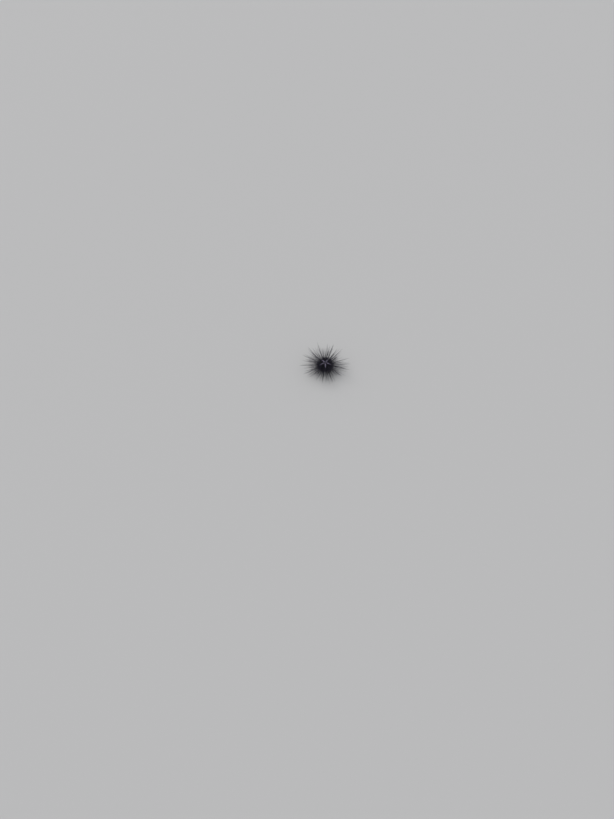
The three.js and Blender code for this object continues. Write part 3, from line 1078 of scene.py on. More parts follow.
@dataclass(frozen=True)
class WetSkin(Finish):
    """Living skin drawn thin over chalk plates, wet and near black with a plum cast.

    The eye sees broad soft gloss broken by fine wrinkles, cloudy plum patches, and pale bare arms with blue
    edges.
    """

    name: str = "wet black-violet skin"
    dark: str = "#0d0c14"
    plum: str = "#1d1929"
    groove: str = "#0a090f"
    pale: str = "#6f687e"
    fleck: str = "#9790a8"
    edge_blue: str = "#2c4688"
    clouds: Mottle = Mottle(4.0, 0.42, 0.62)
    flecks: Mottle = Mottle(0.3, 0.45, 0.66, 3.0)
    ragged_mm: float = 1.5
    ragged_contrast: tuple[float, float] = (4.2, -1.2)  # by which the noise is multiplied, and added to it
    arm_share: float = 0.94
    bead_mm: float = 0.8
    bead_share: float = 0.8
    wrinkle_mm: float = 0.4
    gloss: tuple[float, float] = (0.42, 0.62)

    def inputs(self, tree: bpy.types.NodeTree) -> dict:
        """Adds the skin's pattern; it reads the vertex attributes star, line and narrow.

        Args:
            tree: the material's empty tree.

        Returns:
            What goes into the surface's sockets.
        """
        place = add_node(tree, "ShaderNodeTexCoord").outputs["Object"]
        star, line, narrow = (
            add_node(tree, "ShaderNodeAttribute", attribute_name=name).outputs["Fac"]
            for name in ("star", "line", "narrow")
        )
        base = self.clouds.over(tree, place, linear(self.dark), linear(self.plum))
        furrowed = add_node(
            tree, "ShaderNodeMix", {0: narrow, 6: base, 7: linear(self.groove)}, data_type="RGBA"
        )
        arm_colour = self.flecks.over(tree, place, linear(self.pale), linear(self.fleck))
        ragged = add_node(
            tree,
            "ShaderNodeTexNoise",
            {"Vector": place, "Scale": 1 / (self.ragged_mm * MM), "Detail": 5.0, "Roughness": 0.7},
        )
        times, more = self.ragged_contrast
        torn = add_node(
            tree, "ShaderNodeMath", {0: ragged.outputs["Fac"], 1: times, 2: more}, operation="MULTIPLY_ADD"
        )
        uneven = add_node(
            tree, "ShaderNodeMath", {0: star, 1: torn.outputs[0]}, operation="MULTIPLY", use_clamp=True
        )
        arm_mask = add_node(
            tree,
            "ShaderNodeMapRange",
            {"Value": uneven.outputs[0], "From Min": 0.15, "From Max": 0.85, "To Max": self.arm_share},
            interpolation_type="SMOOTHSTEP",
        )
        marked = add_node(
            tree,
            "ShaderNodeMix",
            {0: arm_mask.outputs["Result"], 6: furrowed.outputs[2], 7: arm_colour},
            data_type="RGBA",
        )
        bead = add_node(tree, "ShaderNodeTexVoronoi", {"Vector": place, "Scale": 1 / (self.bead_mm * MM)})
        beaded = add_node(
            tree,
            "ShaderNodeMapRange",
            {"Value": bead.outputs["Distance"], "From Min": 0.5, "From Max": 0.2, "To Max": self.bead_share},
        )
        broken = add_node(
            tree,
            "ShaderNodeMath",
            {0: line, 1: beaded.outputs["Result"]},
            operation="MULTIPLY",
            use_clamp=True,
        )
        edged = add_node(
            tree,
            "ShaderNodeMix",
            {0: broken.outputs[0], 6: marked.outputs[2], 7: linear(self.edge_blue)},
            data_type="RGBA",
        )
        wrinkle = add_node(
            tree,
            "ShaderNodeTexNoise",
            {"Vector": place, "Scale": 1 / (self.wrinkle_mm * MM), "Detail": 3.0, "Distortion": 0.6},
        ).outputs["Fac"]
        limits = {"From Min": 0.3, "From Max": 0.7, "To Min": self.gloss[0], "To Max": self.gloss[1]}
        gloss = add_node(tree, "ShaderNodeMapRange", {"Value": wrinkle, **limits})
        bump = add_node(
            tree, "ShaderNodeBump", {"Strength": 0.35, "Distance": 0.25 * MM, "Height": wrinkle}
        )
        return {
            "Base Color": edged.outputs[2],
            "Roughness": gloss.outputs["Result"],
            "Normal": bump.outputs["Normal"],
            "IOR": 1.36,
            "Coat Weight": 0.06,
            "Coat Roughness": 0.3,
        }


@dataclass(frozen=True)
class SpineGlass(Finish):
    """Hollow calcite spine under a film of black-violet skin, glossy and finely ringed.

    The eye sees thin needles with a sharp highlight broken by rings of tiny barbs, paler and browner at the
    tip.
    """

    name: str = "glossy ringed spine"
    root: str = "#0b0a12"
    shaft: str = "#0f0d1a"
    pale_shaft: str = "#262338"
    tip: str = "#2b2839"
    foot: tuple[float, float] = (0.0, 0.12)  # shares of the length between which the root's colour ends
    end: tuple[float, float] = (0.55, 1.05)  # and the tip's colour comes up
    ring_mm: float = 0.45
    flutes: int = 12
    flute_height: float = 0.5  # of a ring's height

    def inputs(self, tree: bpy.types.NodeTree) -> dict:
        """Adds the spine's pattern; it reads the Shaft map and the attributes reach and tone.

        Args:
            tree: the material's empty tree.

        Returns:
            What goes into the surface's sockets.
        """
        reach, tone = (
            add_node(tree, "ShaderNodeAttribute", attribute_name=name).outputs["Fac"]
            for name in ("reach", "tone")
        )
        foot, end = (
            add_node(
                tree, "ShaderNodeMapRange", {"Value": reach, "From Min": low, "From Max": high}
            ).outputs["Result"]
            for low, high in (self.foot, self.end)
        )
        colour = linear(self.shaft)
        colour = add_node(
            tree, "ShaderNodeMix", {0: tone, 6: colour, 7: linear(self.pale_shaft)}, data_type="RGBA"
        ).outputs[2]
        colour = add_node(
            tree, "ShaderNodeMix", {0: foot, 6: linear(self.root), 7: colour}, data_type="RGBA"
        ).outputs[2]
        colour = add_node(
            tree, "ShaderNodeMix", {0: end, 6: colour, 7: linear(self.tip)}, data_type="RGBA"
        ).outputs[2]
        shaft_map = add_node(tree, "ShaderNodeUVMap", uv_map="Shaft")
        parts = add_node(tree, "ShaderNodeSeparateXYZ", {"Vector": shaft_map.outputs["UV"]})
        waves = []
        for axis, frequency in (("Y", 2 * math.pi / self.ring_mm), ("X", 2 * math.pi * self.flutes)):
            phase = add_node(
                tree, "ShaderNodeMath", {0: parts.outputs[axis], 1: frequency}, operation="MULTIPLY"
            )
            waves.append(add_node(tree, "ShaderNodeMath", {0: phase.outputs[0]}, operation="SINE"))
        rings, flutes = waves
        barbs = add_node(
            tree,
            "ShaderNodeMath",
            {0: flutes.outputs[0], 1: self.flute_height, 2: rings.outputs[0]},
            operation="MULTIPLY_ADD",
        )
        bump = add_node(
            tree, "ShaderNodeBump", {"Strength": 0.3, "Distance": 0.035 * MM, "Height": barbs.outputs[0]}
        )
        return {
            "Base Color": colour,
            "Roughness": 0.34,
            "Normal": bump.outputs["Normal"],
            "IOR": 1.45,
            "Coat Weight": 0.1,
            "Coat Roughness": 0.15,
        }


@dataclass(frozen=True)
class SoftTissue(Finish):
    """Bare moist tissue, as on the papilla, the mouth skin, the gills and the tube feet.

    The eye sees soft gloss over fine folds, two close colours in clouds and pale specks, and painted shade
    that darkens the pits and folds.
    """

    deep: str
    light: str
    speck: str
    cloud_mm: float
    speck_mm: float
    speck_share: float
    fold_mm: float
    roughness: float
    fold_strength: float = 0.4
    translucency: float = 0.0
    # near-black colour of the painted shade in pits and folds
    shade_colour: str = "#08060a"

    def inputs(self, tree: bpy.types.NodeTree) -> dict:
        """Adds the tissue's pattern and its painted shade; it reads a vertex attribute that darkens pits and
        folds as painted shade.

        Args:
            tree: the material's empty tree.

        Returns:
            What goes into the surface's sockets.
        """
        place = add_node(tree, "ShaderNodeTexCoord").outputs["Object"]
        clouds = Mottle(self.cloud_mm, 0.38, 0.64)
        specks = Mottle(self.speck_mm, 0.58, 0.74, detail=2.0, share=self.speck_share)
        base = clouds.over(tree, place, linear(self.deep), linear(self.light))
        marked = specks.over(tree, place, base, linear(self.speck))
        # Painted shade: pits and folds are mixed towards the near-black shade colour.
        painted_shade = add_node(tree, "ShaderNodeAttribute", attribute_name="painted_shade")
        shaded = add_node(
            tree,
            "ShaderNodeMix",
            {0: painted_shade.outputs["Fac"], 6: marked, 7: linear(self.shade_colour)},
            data_type="RGBA",
        )
        fold = add_node(
            tree,
            "ShaderNodeTexNoise",
            {"Vector": place, "Scale": 1 / (self.fold_mm * MM), "Detail": 3.0, "Distortion": 0.8},
        )
        bump = add_node(
            tree,
            "ShaderNodeBump",
            {"Strength": self.fold_strength, "Distance": 0.3 * MM, "Height": fold.outputs["Fac"]},
        )
        return {
            "Base Color": shaded.outputs[2],
            "Roughness": self.roughness,
            "Normal": bump.outputs["Normal"],
            "IOR": 1.38,
            "Subsurface Weight": self.translucency,
            "Subsurface Scale": 0.5 * MM,
            "Coat Weight": 0.08,
            "Coat Roughness": 0.3,
        }


class Tissue(Enum):
    """The soft parts' tissues."""

    PAPILLA = SoftTissue(
        "papilla tissue",
        deep="#2f2938",
        light="#5a5267",
        speck="#8a8299",
        cloud_mm=2.6,
        speck_mm=0.25,
        speck_share=0.35,
        fold_mm=0.5,
        roughness=0.4,
        fold_strength=0.25,
        translucency=0.2,
    )
    MOUTH = SoftTissue(
        "mouth tissue",
        deep="#2a1c26",
        light="#4a3442",
        speck="#6b5160",
        cloud_mm=2.0,
        speck_mm=0.7,
        speck_share=0.35,
        fold_mm=0.35,
        roughness=0.45,
    )
    GILL = SoftTissue(
        "gill tissue",
        deep="#3a2833",
        light="#5f4552",
        speck="#7d6270",
        cloud_mm=1.5,
        speck_mm=0.7,
        speck_share=0.2,
        fold_mm=0.4,
        roughness=0.4,
        fold_strength=0.2,
        translucency=0.15,
    )
    TUBE_FOOT = SoftTissue(
        "tube foot tissue",
        deep="#241a26",
        light="#43323f",
        speck="#5e4a58",
        cloud_mm=1.5,
        speck_mm=0.8,
        speck_share=0.2,
        fold_mm=0.5,
        roughness=0.35,
        fold_strength=0.2,
        translucency=0.1,
    )


@dataclass(frozen=True)
class ToothCalcite(Finish):
    """Polished calcite of the teeth: smooth warm white, with faint growth lines across."""

    name: str = "polished tooth calcite"
    light: str = "#e9e4d8"
    line: str = "#c9bfae"
    line_mm: float = 0.5
    line_share: float = 0.6
    wobble_mm: float = 0.8

    def inputs(self, tree: bpy.types.NodeTree) -> dict:
        """Adds the growth lines.

        Args:
            tree: the material's empty tree.

        Returns:
            What goes into the surface's sockets.
        """
        place = add_node(tree, "ShaderNodeTexCoord").outputs["Object"]
        parts = add_node(tree, "ShaderNodeSeparateXYZ", {"Vector": place})
        wobble = add_node(
            tree, "ShaderNodeTexNoise", {"Vector": place, "Scale": 1 / (self.wobble_mm * MM), "Detail": 2.0}
        )
        phase = add_node(
            tree,
            "ShaderNodeMath",
            {0: parts.outputs["Z"], 1: 2 * math.pi / (self.line_mm * MM), 2: wobble.outputs["Fac"]},
            operation="MULTIPLY_ADD",
        )
        lines = add_node(tree, "ShaderNodeMath", {0: phase.outputs[0]}, operation="SINE").outputs[0]
        share = add_node(
            tree,
            "ShaderNodeMapRange",
            {"Value": lines, "From Min": 0.2, "From Max": 1.0, "To Max": self.line_share},
        )
        colours = {0: share.outputs["Result"], 6: linear(self.light), 7: linear(self.line)}
        colour = add_node(tree, "ShaderNodeMix", colours, data_type="RGBA")
        bump = add_node(tree, "ShaderNodeBump", {"Strength": 0.2, "Distance": 0.05 * MM, "Height": lines})
        return {
            "Base Color": colour.outputs[2],
            "Roughness": 0.32,
            "Normal": bump.outputs["Normal"],
            "IOR": 1.55,
            "Subsurface Weight": 0.15,
            "Subsurface Scale": 0.6 * MM,
        }


@dataclass(frozen=True)
class StudioPaper(Finish):
    """Matte pale grey paper, flat and even, with a grain too fine to see."""

    name: str = "pale studio paper"
    colour: str = "#cccccd"
    grain: float = 900.0  # in a metre

    def inputs(self, tree: bpy.types.NodeTree) -> dict:
        """Adds the grain.

        Args:
            tree: the material's empty tree.

        Returns:
            What goes into the surface's sockets.
        """
        place = add_node(tree, "ShaderNodeTexCoord").outputs["Object"]
        grain = add_node(tree, "ShaderNodeTexNoise", {"Vector": place, "Scale": self.grain, "Detail": 2.0})
        bump = add_node(
            tree, "ShaderNodeBump", {"Strength": 0.05, "Distance": 0.1 * MM, "Height": grain.outputs["Fac"]}
        )
        return {"Base Color": linear(self.colour), "Roughness": 0.9, "Normal": bump.outputs["Normal"]}


# The sub-assemblies.


@dataclass
class TestSkin:
    """One skin over all ten fields, with plates, furrows, tubercles under the spines and the bare star."""

    form: ShellForm
    star: StarMarking
    around: int = 470
    rings: int = 196
    inset: float = 0.12  # the skin lies this far inside the solids' own surface
    tucked: float = 1.3  # how far it is sunk under the disc and the mouth skin
    tuck_step: tuple[float, float] = (0.5, -0.4)  # from the edge, where the sinking begins and is whole
    plate_height: float = 3.3
    swell: float = 0.35  # of a field's middle over its edges
    suture_depth: float = 0.14
    suture_width: float = 0.28
    zigzag: float = 0.55  # of the line where a field's two columns of plates meet
    zigzag_width: float = 0.3
    seam_depth: float = 0.42
    seam_width: float = 0.6
    boss_height: float = 0.5
    boss_reach: float = 3.2  # no boss is felt further from its spine's root
    boss_width: tuple[float, float] = (2.3, 0.15)  # for each millimetre of girth, and added to it
    moat_depth: float = 0.14  # of the furrow round a boss
    pit_depth: float = 0.22
    pit_width: float = 0.45
    pit_spacing: float = 1.3
    arm_depth: float = 0.5
    fold_height: float = 0.05
    fold_spacing: float = 0.9

    def build(self, spines: SpineSet, material: bpy.types.Material) -> bpy.types.Object:
        """Builds the skin.

        Args:
            spines: the long and middle spines, each of which has a tubercle.
            material: the skin's finish.

        Returns:
            The finished piece.
        """
        arc = np.linspace(0, self.form.total(), self.rings + 2)[:, None]
        arc, azimuth = np.broadcast_arrays(arc, ring_of(self.around))
        points, normals = self.form.place(azimuth, arc)
        radius = np.hypot(points[..., 0], points[..., 1])
        star, line = self.star.arm(azimuth, radius, points[..., 2])
        off, wide = self.form.field_of(azimuth)
        relief = self.field_relief(off, wide, radius, arc, star)
        relief = relief + self.tubercles(points, spines) * (1 - star) - self.inset
        upper = points[..., 2] > self.form.ambitus
        under_disc = smooth(*(self.form.disc_radius + step for step in self.tuck_step), radius) * upper
        under_mouth = smooth(*(self.form.mouth_edge + step for step in self.tuck_step), radius) * ~upper
        relief = relief - self.tucked * (under_disc + under_mouth)
        skin = closed_grid("skin", points + relief[..., None] * normals, material)
        write_attribute(skin.data, "star", grid_values(star))
        write_attribute(skin.data, "line", grid_values(line))
        write_attribute(skin.data, "narrow", grid_values(np.where(wide, 0.0, 1.0)))
        unwrap_grid(skin.data, self.form)
        return finish_piece(skin, WIDE_FIELDS + NARROW_FIELDS)

    def field_relief(
        self, off: np.ndarray, wide: np.ndarray, radius: np.ndarray, arc: np.ndarray, star: np.ndarray
    ) -> np.ndarray:
        """Height of the skin by plates, sutures, pores and the sunken arms, without the tubercles.

        Args:
            off: angle of each place off the middle of its field.
            wide: whether that field is a wide one.
            radius: distance of each place from the axis.
            arc: its distance along the profile.
            star: how far it belongs to an arm of the star.

        Returns:
            One height for each place.
        """
        half = np.where(wide, self.form.wide_half, self.form.narrow_half) * radius
        across = off * radius
        to_edge = half - np.abs(across)
        relief = -self.seam_depth * bell(to_edge, self.seam_width)
        swell = self.swell * np.clip(1 - (across / half.clip(1e-6)) ** 2, 0, 1)
        column = np.where(across > 0, 0.5, 0.0)
        row = (arc / np.where(wide, self.plate_height, self.plate_height / 2) + column) % 1
        suture = bell((row - 0.5) * self.plate_height, self.suture_width) * smooth(0, 1.2, to_edge)
        zigzag = self.zigzag * (np.abs((arc / self.plate_height) % 1 - 0.5) * 4 - 1)
        middle = bell(across - zigzag, self.zigzag_width)
        relief = relief + swell - self.suture_depth * (suture + middle) * (1 - star)
        pits = 0.5 + 0.5 * np.cos(2 * math.pi * arc / self.pit_spacing)
        pores = bell(to_edge - self.form.pore_inset, self.pit_width) * pits * ~wide
        fold_phase = 2 * math.pi * arc / self.fold_spacing + 3 * np.sin(across * 2.1)
        arm_folds = self.fold_height * np.sin(fold_phase) * star
        return relief - self.pit_depth * pores - self.arm_depth * star + arm_folds

    def tubercles(self, points: np.ndarray, spines: SpineSet) -> np.ndarray:
        """Height of the bosses under the spines, each with a furrow round it.

        Args:
            points: the skin's points, shaped (rings, around, 3).
            spines: the spines that have a boss.

        Returns:
            One height for each point.
        """
        flat = points.reshape(-1, 3)
        height = np.zeros(len(flat))
        for root, girth in zip(spines.roots, spines.girths):
            near = np.flatnonzero(np.abs(flat - root).max(axis=1) < self.boss_reach)
            far = np.linalg.norm(flat[near] - root, axis=1)
            width = self.boss_width[0] * girth + self.boss_width[1]
            moat = self.moat_depth * bell(far - 1.9 * width, 0.4 * width)
            height[near] += self.boss_height * bell(far, width) - moat
        return height.reshape(points.shape[:2])


@dataclass
class SpineCoat:
    """All the spines: those of the solids made slim and real, middle ones between them, and short ones."""

    form: ShellForm
    star: StarMarking
    finish: bpy.types.Material

    def grow(self) -> tuple[SpineSet, SpineSet, SpineSet]:
        """Reads the long spines from the frame and grows the others among them.

        Returns:
            The long, the middle and the short spines.
        """
        nodes = [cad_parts[name] for name in WIDE_FIELDS + NARROW_FIELDS]
        long = SpineReader().read(nodes).varied(GirthPattern(math.radians(15), 1.3, 0.74, boldest=2.0))
        between = FillingSpines(
            self.form,
            self.star,
            SEED,
            tries=9000,
            wanted=150,
            star_margin=1.6,
            root_gap=2.0,
            air=0.9,
            share=(0.45, 0.97),
            longest=64.0,
            fewer_off_widest=0.9,
            upright=0.03,
            sway=0.07,
            short=False,
        )
        middle = between.grow(long, long).varied(GirthPattern(math.radians(60), 0.8, 0.7))
        under = FillingSpines(
            self.form,
            self.star,
            SEED + 1,
            tries=14000,
            wanted=950,
            star_margin=0.7,
            root_gap=1.15,
            air=0.5,
            share=(0.16, 0.34),
            longest=9.0,
            fewer_off_widest=0.0,
            upright=0.35,
            sway=0.16,
            short=True,
        )
        short = under.grow(long, long.joined(middle))
        log.info("spines: %d long, %d middle, %d short", long.count(), middle.count(), short.count())
        return long, middle, short

    def build(self, long: SpineSet, middle: SpineSet, short: SpineSet) -> list[bpy.types.Object]:
        """Makes one piece of each kind of spine.

        Args:
            long: the spines of the solids.
            middle: those between them.
            short: the short ones.

        Returns:
            The three finished pieces.
        """
        nodes = WIDE_FIELDS + NARROW_FIELDS
        made = []
        for name, spines, stations, sides, bow in (
            ("long_spines", long, tuple(Station), 7, 0.006),
            ("middle_spines", middle, tuple(Station), 6, 0.006),
            ("short_spines", short, SHORT_STATIONS, 5, 0.02),
        ):
            strands = Strands(name, self.finish, sides, self.form)
            strands.add_spines(spines, stations, bow, SEED + len(made))
            made.append(finish_piece(strands.build(), nodes))
        return made


@dataclass
class TubeFeet:
    """The tube feet in two lines along each narrow field: thin feelers above, sucker feet below."""

    form: ShellForm
    finish: bpy.types.Material
    spacing: float = 2.5
    feeler_length: tuple[float, float] = (5.0, 10.0)
    feeler_girth: float = 0.22
    sucker_girth: float = 0.3
    stagger: float = 0.5  # of the spacing, between a field's two lines
    places: tuple[float, ...] = (0.0, 0.12, 0.3, 0.5, 0.7, 0.86, 0.93, 0.975, 1.0)  # along a foot
    sucker: tuple[float, ...] = (1.3, 1.05, 0.95, 0.85, 0.8, 0.8, 1.15, 1.75, 1.45)  # girths there

    def build(self) -> bpy.types.Object:
        """Builds all the tube feet as one piece.

        Returns:
            The finished piece.
        """
        random = np.random.default_rng(SEED + 10)
        strands = Strands("tube_feet", self.finish, 6, self.form)
        low = self.form.arc_at(self.form.mouth_edge + 1.2, upper=False)
        high = self.form.arc_at(self.form.disc_radius + 1.5, upper=True)
        count = int((high - low) / self.spacing)
        for ray in range(RAYS):
            for side in (-1, 1):
                first = self.stagger if side > 0 else 0.0
                for k in range(count):
                    arc = low + (k + first + random.uniform(-0.2, 0.2)) * self.spacing
                    r = float(self.form.at(np.array(arc))[0])
                    edge = self.form.narrow_half * r - self.form.pore_inset
                    azimuth = self.form.ray_at(ray + 0.5) + side * edge / r
                    self.add_foot(strands, azimuth, arc, side, random)
        return finish_piece(strands.build(), NARROW_FIELDS)

    def add_foot(
        self, strands: Strands, azimuth: float, arc: float, side: int, random: np.random.Generator
    ) -> None:
        """Adds one tube foot, curved as it reaches out or down to the floor.

        Args:
            strands: what it is added to.
            azimuth: its root's azimuth.
            arc: its root's distance along the profile.
            side: -1 or 1 for the line of the field that it stands in.
            random: where the draws come from.
        """
        root, normal = (value.ravel() for value in self.form.place(np.array(azimuth), np.array(arc)))
        outward, sideways = horizontal(azimuth)
        tangent = side * sideways
        t = np.array(self.places)[:, None]
        if root[2] < self.form.ambitus - 1:
            end = root + outward * random.uniform(1, 7) + tangent * random.uniform(-2, 3)
            end[2] = 0.25 if random.uniform() < 0.6 else random.uniform(1.5, 6)
            elbow = root + normal * random.uniform(2.5, 5)
            girths = self.sucker_girth * np.array(self.sucker)
        else:
            length = random.uniform(*self.feeler_length)
            end = root + normal * 0.75 * length + tangent * random.uniform(-0.2, 0.5) * length
            end[2] += random.uniform(-0.4, 0.15) * length
            elbow = root + normal * 0.6 * length
            girths = self.feeler_girth * np.interp(t.ravel(), (0, 0.15, 0.8, 1), (1.5, 1, 0.7, 0.45))
        line = (1 - t) ** 2 * (root - 0.5 * normal) + 2 * t * (1 - t) * elbow + t**2 * end
        strands.add(line, girths, float(random.uniform()))


@dataclass
class ApicalDisc:
    """The ring of genital and ocular plates at the top, the genital ones as pale as the star's arms."""

    form: ShellForm
    around: int = 300
    rings: int = 54
    edge: float = 6.9
    socket: float = 3.75  # where the anal papilla's foot begins
    plate_rise: float = 0.4
    rim_drop: float = 0.7
    socket_drop: float = 0.5
    pore_at: float = 5.55
    pore_depth: float = 0.5
    sieve_rise: float = 0.25
    pit_depth: float = 0.12
    sieve_ray: int = 2  # the genital plate that is also the sieve plate

    def build(self, material: bpy.types.Material) -> bpy.types.Object:
        """Builds the disc.

        Args:
            material: its finish.

        Returns:
            The finished piece.
        """
        reach = np.linspace(1, 0, self.rings) ** 0.9
        r = np.concatenate([[0.0, self.edge * 0.97], self.edge * reach[:-1], [0.0]])[:, None]
        r, azimuth = np.broadcast_arrays(r, ring_of(self.around))
        base = self.form.at(self.form.arc_at(r, upper=True))[1]
        plates, pale, pores = self.relief(r, azimuth)
        z = base + plates - self.rim_drop * smooth(self.edge - 0.45, self.edge, r)
        z = z - self.socket_drop * smooth(self.socket + 0.3, self.socket - 0.2, r)
        z[0] = base.min() - 2.2
        z[1] = base[1] - 1.9
        disc = closed_grid("apical_disc_skin", turned(r, azimuth, z), material)
        # The pale plates are kept dark in the pores and the sieve pits as painted shade, and along the
        # sutures as their own dark joints.
        write_attribute(disc.data, "star", grid_values(pale * (1 - np.clip(pores, 0, 1))))
        write_attribute(disc.data, "line", grid_values(0.6 * bell(r - self.socket - 0.3, 0.25) + 0 * azimuth))
        write_attribute(disc.data, "narrow", grid_values(np.zeros(r.shape)))
        unwrap_grid(disc.data, self.form)
        return finish_piece(disc, ["apical_disc"])

    def relief(self, r: np.ndarray, azimuth: np.ndarray) -> tuple[np.ndarray, np.ndarray, np.ndarray]:
        """Height of the plates, how pale they are, and the share of pore or suture, at each place; that share
        keeps the pale colour off, as painted shade in the pores and the sieve plate's pits and as the
        sutures' own dark joints.

        Args:
            r: distance of each place from the axis.
            azimuth: its azimuth.

        Returns:
            The three values, one for each place.
        """
        off = (azimuth - self.form.first_ray + TURN / 2) % TURN - TURN / 2
        ray = np.round((azimuth - self.form.first_ray) / TURN) % RAYS
        x, y = r * np.cos(off), r * np.abs(np.sin(off))
        genital = np.minimum.reduce(
            [x - self.socket - 0.15, 6.55 - x - 0.55 * y, 2.35 - y + 0.12 * (x - 4)]
        )
        off_ocular = np.abs(off) - TURN / 2
        ox, oy = r * np.cos(off_ocular), r * np.abs(np.sin(off_ocular))
        ocular = np.minimum.reduce([ox - 4.75, 6.7 - ox - 0.3 * oy, 1.15 - oy])
        plate = np.maximum(genital, ocular)
        height = self.plate_rise * smooth(-0.12, 0.4, plate)
        sieve = smooth(0.05, 0.5, genital) * (ray == self.sieve_ray)
        pore_far = np.hypot(x - self.pore_at, y)
        pore = bell(pore_far, 0.3)
        rim = bell(pore_far - 0.55, 0.22)
        pits = 0.5 + 0.5 * np.cos(azimuth * r * 9) * np.cos(r * 9)
        height = height + self.sieve_rise * sieve - self.pore_depth * pore + 0.12 * rim
        height = height - self.pit_depth * sieve * pits
        seam = bell(plate + 0.05, 0.2) * (r > self.socket)
        pale = 0.85 * smooth(0.0, 0.5, genital)
        return height, pale, 0.9 * pore + 0.45 * seam + 0.5 * sieve * pits


@dataclass
class AnalPapilla:
    """The soft balloon in the middle of the disc, on a short neck, with the vent at its top."""

    form: ShellForm
    around: int = 120
    neck: float = 2.5
    bulb: float = 3.25
    vent: float = 0.75
    folds: int = 15

    def build(self, material: bpy.types.Material) -> bpy.types.Object:
        """Builds the papilla inside the solid one's outline.

        Args:
            material: its finish.

        Returns:
            The finished piece.
        """
        top = self.form.ambitus + self.form.dome
        foot = np.array(
            [[0.0, -2.6], [3.4, -2.5], [3.6, -0.6], [3.5, -0.15], [2.9, 0.15], [self.neck, 0.45]]
        )
        middle, height = 2.5, 2.65
        angles = np.radians(np.linspace(-42, 76, 30))
        bulb = np.stack([self.bulb * np.cos(angles), middle + height * np.sin(angles)], axis=1)
        lip = np.array([[self.vent, height], [0.5, 0.94 * height], [0.3, 1.5], [0.0, 1.3]]) + [0, middle]
        outline = self.rounded(np.concatenate([foot, bulb, lip]), 110)
        azimuth = ring_of(self.around)
        r, z = outline[:, 0][:, None], outline[:, 1][:, None]
        upper = smooth(middle, middle + height, z)
        gather = 0.09 * np.cos(self.folds * azimuth + 1.2 * np.sin(3 * azimuth)) * (0.15 + 0.85 * upper)
        wander = 1.6 * np.sin(2 * azimuth + 1) + 1.1 * np.sin(5 * azimuth + z)
        crease = 0.035 * np.sin(z * 5 + wander) * np.sin(4 * azimuth + 2 * z) * smooth(0.4, 1.2, z)
        grown = r + (gather + crease) * smooth(0.2, 1.4, r)
        rows = turned(grown, azimuth, top + z + 0.0 * azimuth)
        rows[0, :, :2] = 0
        rows[-1, :, :2] = 0
        papilla = closed_grid("anal_papilla", rows, material)
        # Painted shade: darker inside the vent and in the inward folds of the pleats.
        inside = smooth(1.0, 0.35, r) * (z > middle) + 0 * azimuth
        shade_in_pleats = np.clip(-gather * 5, 0, 1) * upper
        write_attribute(papilla.data, "painted_shade", grid_values(np.clip(inside + 0.5 * shade_in_pleats, 0, 1)))
        unwrap_grid(papilla.data, self.form)
        return finish_piece(papilla, ["anal_cone"])

    def rounded(self, outline: np.ndarray, count: int) -> np.ndarray:
        """The outline drawn again with evenly spaced points.

        Args:
            outline: points, shaped (count, 2).
            count: how many points the new one has.

        Returns:
            The new outline.
        """
        steps = np.linalg.norm(np.diff(outline, axis=0), axis=1)
        length = np.concatenate([[0], np.cumsum(steps)])
        even = np.linspace(0, length[-1], count)
        return np.stack([np.interp(even, length, outline[:, k]) for k in (0, 1)], axis=1)


@dataclass
class MouthSkin:
    """The soft skin round the mouth, with a swollen wrinkled lip, small scales, and painted shade down the
    throat and in the creases.
    """

    form: ShellForm
    around: int = 300
    edge: float = 10.9
    mouth: float = 3.05
    lip_at: float = 4.6
    lip_fullness: float = 1.0
    wrinkles_at: float = 3.9
    wrinkles_width: float = 0.9

    def build(self, material: bpy.types.Material) -> bpy.types.Object:
        """Builds the skin as a closed puck set into the underside.

        Args:
            material: its finish.

        Returns:
            The finished piece.
        """
        azimuth = ring_of(self.around)
        edge_z = self.form.ambitus - self.form.belly
        throat = np.array([[0.0, 4.0], [2.4, 3.6], [2.9, 2.4], [2.95, 1.2], [2.98, 0.3]])
        faces = np.linspace(self.mouth, self.edge, 70)
        r = np.concatenate([throat[:, 0], faces, [self.edge, 0.0]])[:, None]
        z = self.form.at(self.form.arc_at(r, upper=False))[1] + 0 * azimuth
        lip = self.lip_fullness * bell(r - self.lip_at, 1.6)
        wrinkled = bell(r - self.wrinkles_at, self.wrinkles_width)
        wrinkle = 0.14 * np.cos(40 * azimuth + 2 * np.sin(5 * azimuth)) * wrinkled
        rings = 0.1 * np.sin(r * 5.2 + 0.8 * np.sin(7 * azimuth)) * smooth(5.2, 6.5, r)
        scales = 0.16 * np.cos(r * 4.6) * np.cos(azimuth * np.round(r * 2.6)) * smooth(5.6, 7, r)
        z = z - lip - wrinkle - rings - scales
        z[: len(throat)] = edge_z + throat[:, 1][:, None]
        z[-2] = edge_z + 2.2
        z[-1] = edge_z + 4.5
        r = r + 0 * azimuth
        skin = closed_grid("mouth_skin", turned(r, azimuth, z), material)
        # Painted shade: darker down the throat and in the creases of the wrinkled lip.
        inside = smooth(3.3, 2.9, r) * 0.9
        shade_in_creases = np.clip(0.5 * bell(wrinkle + 0.1, 0.05) * wrinkled, 0, 1)
        write_attribute(skin.data, "painted_shade", grid_values(np.clip(inside + shade_in_creases, 0, 1)))
        unwrap_grid(skin.data, self.form)
        return finish_piece(skin, ["peristome"])


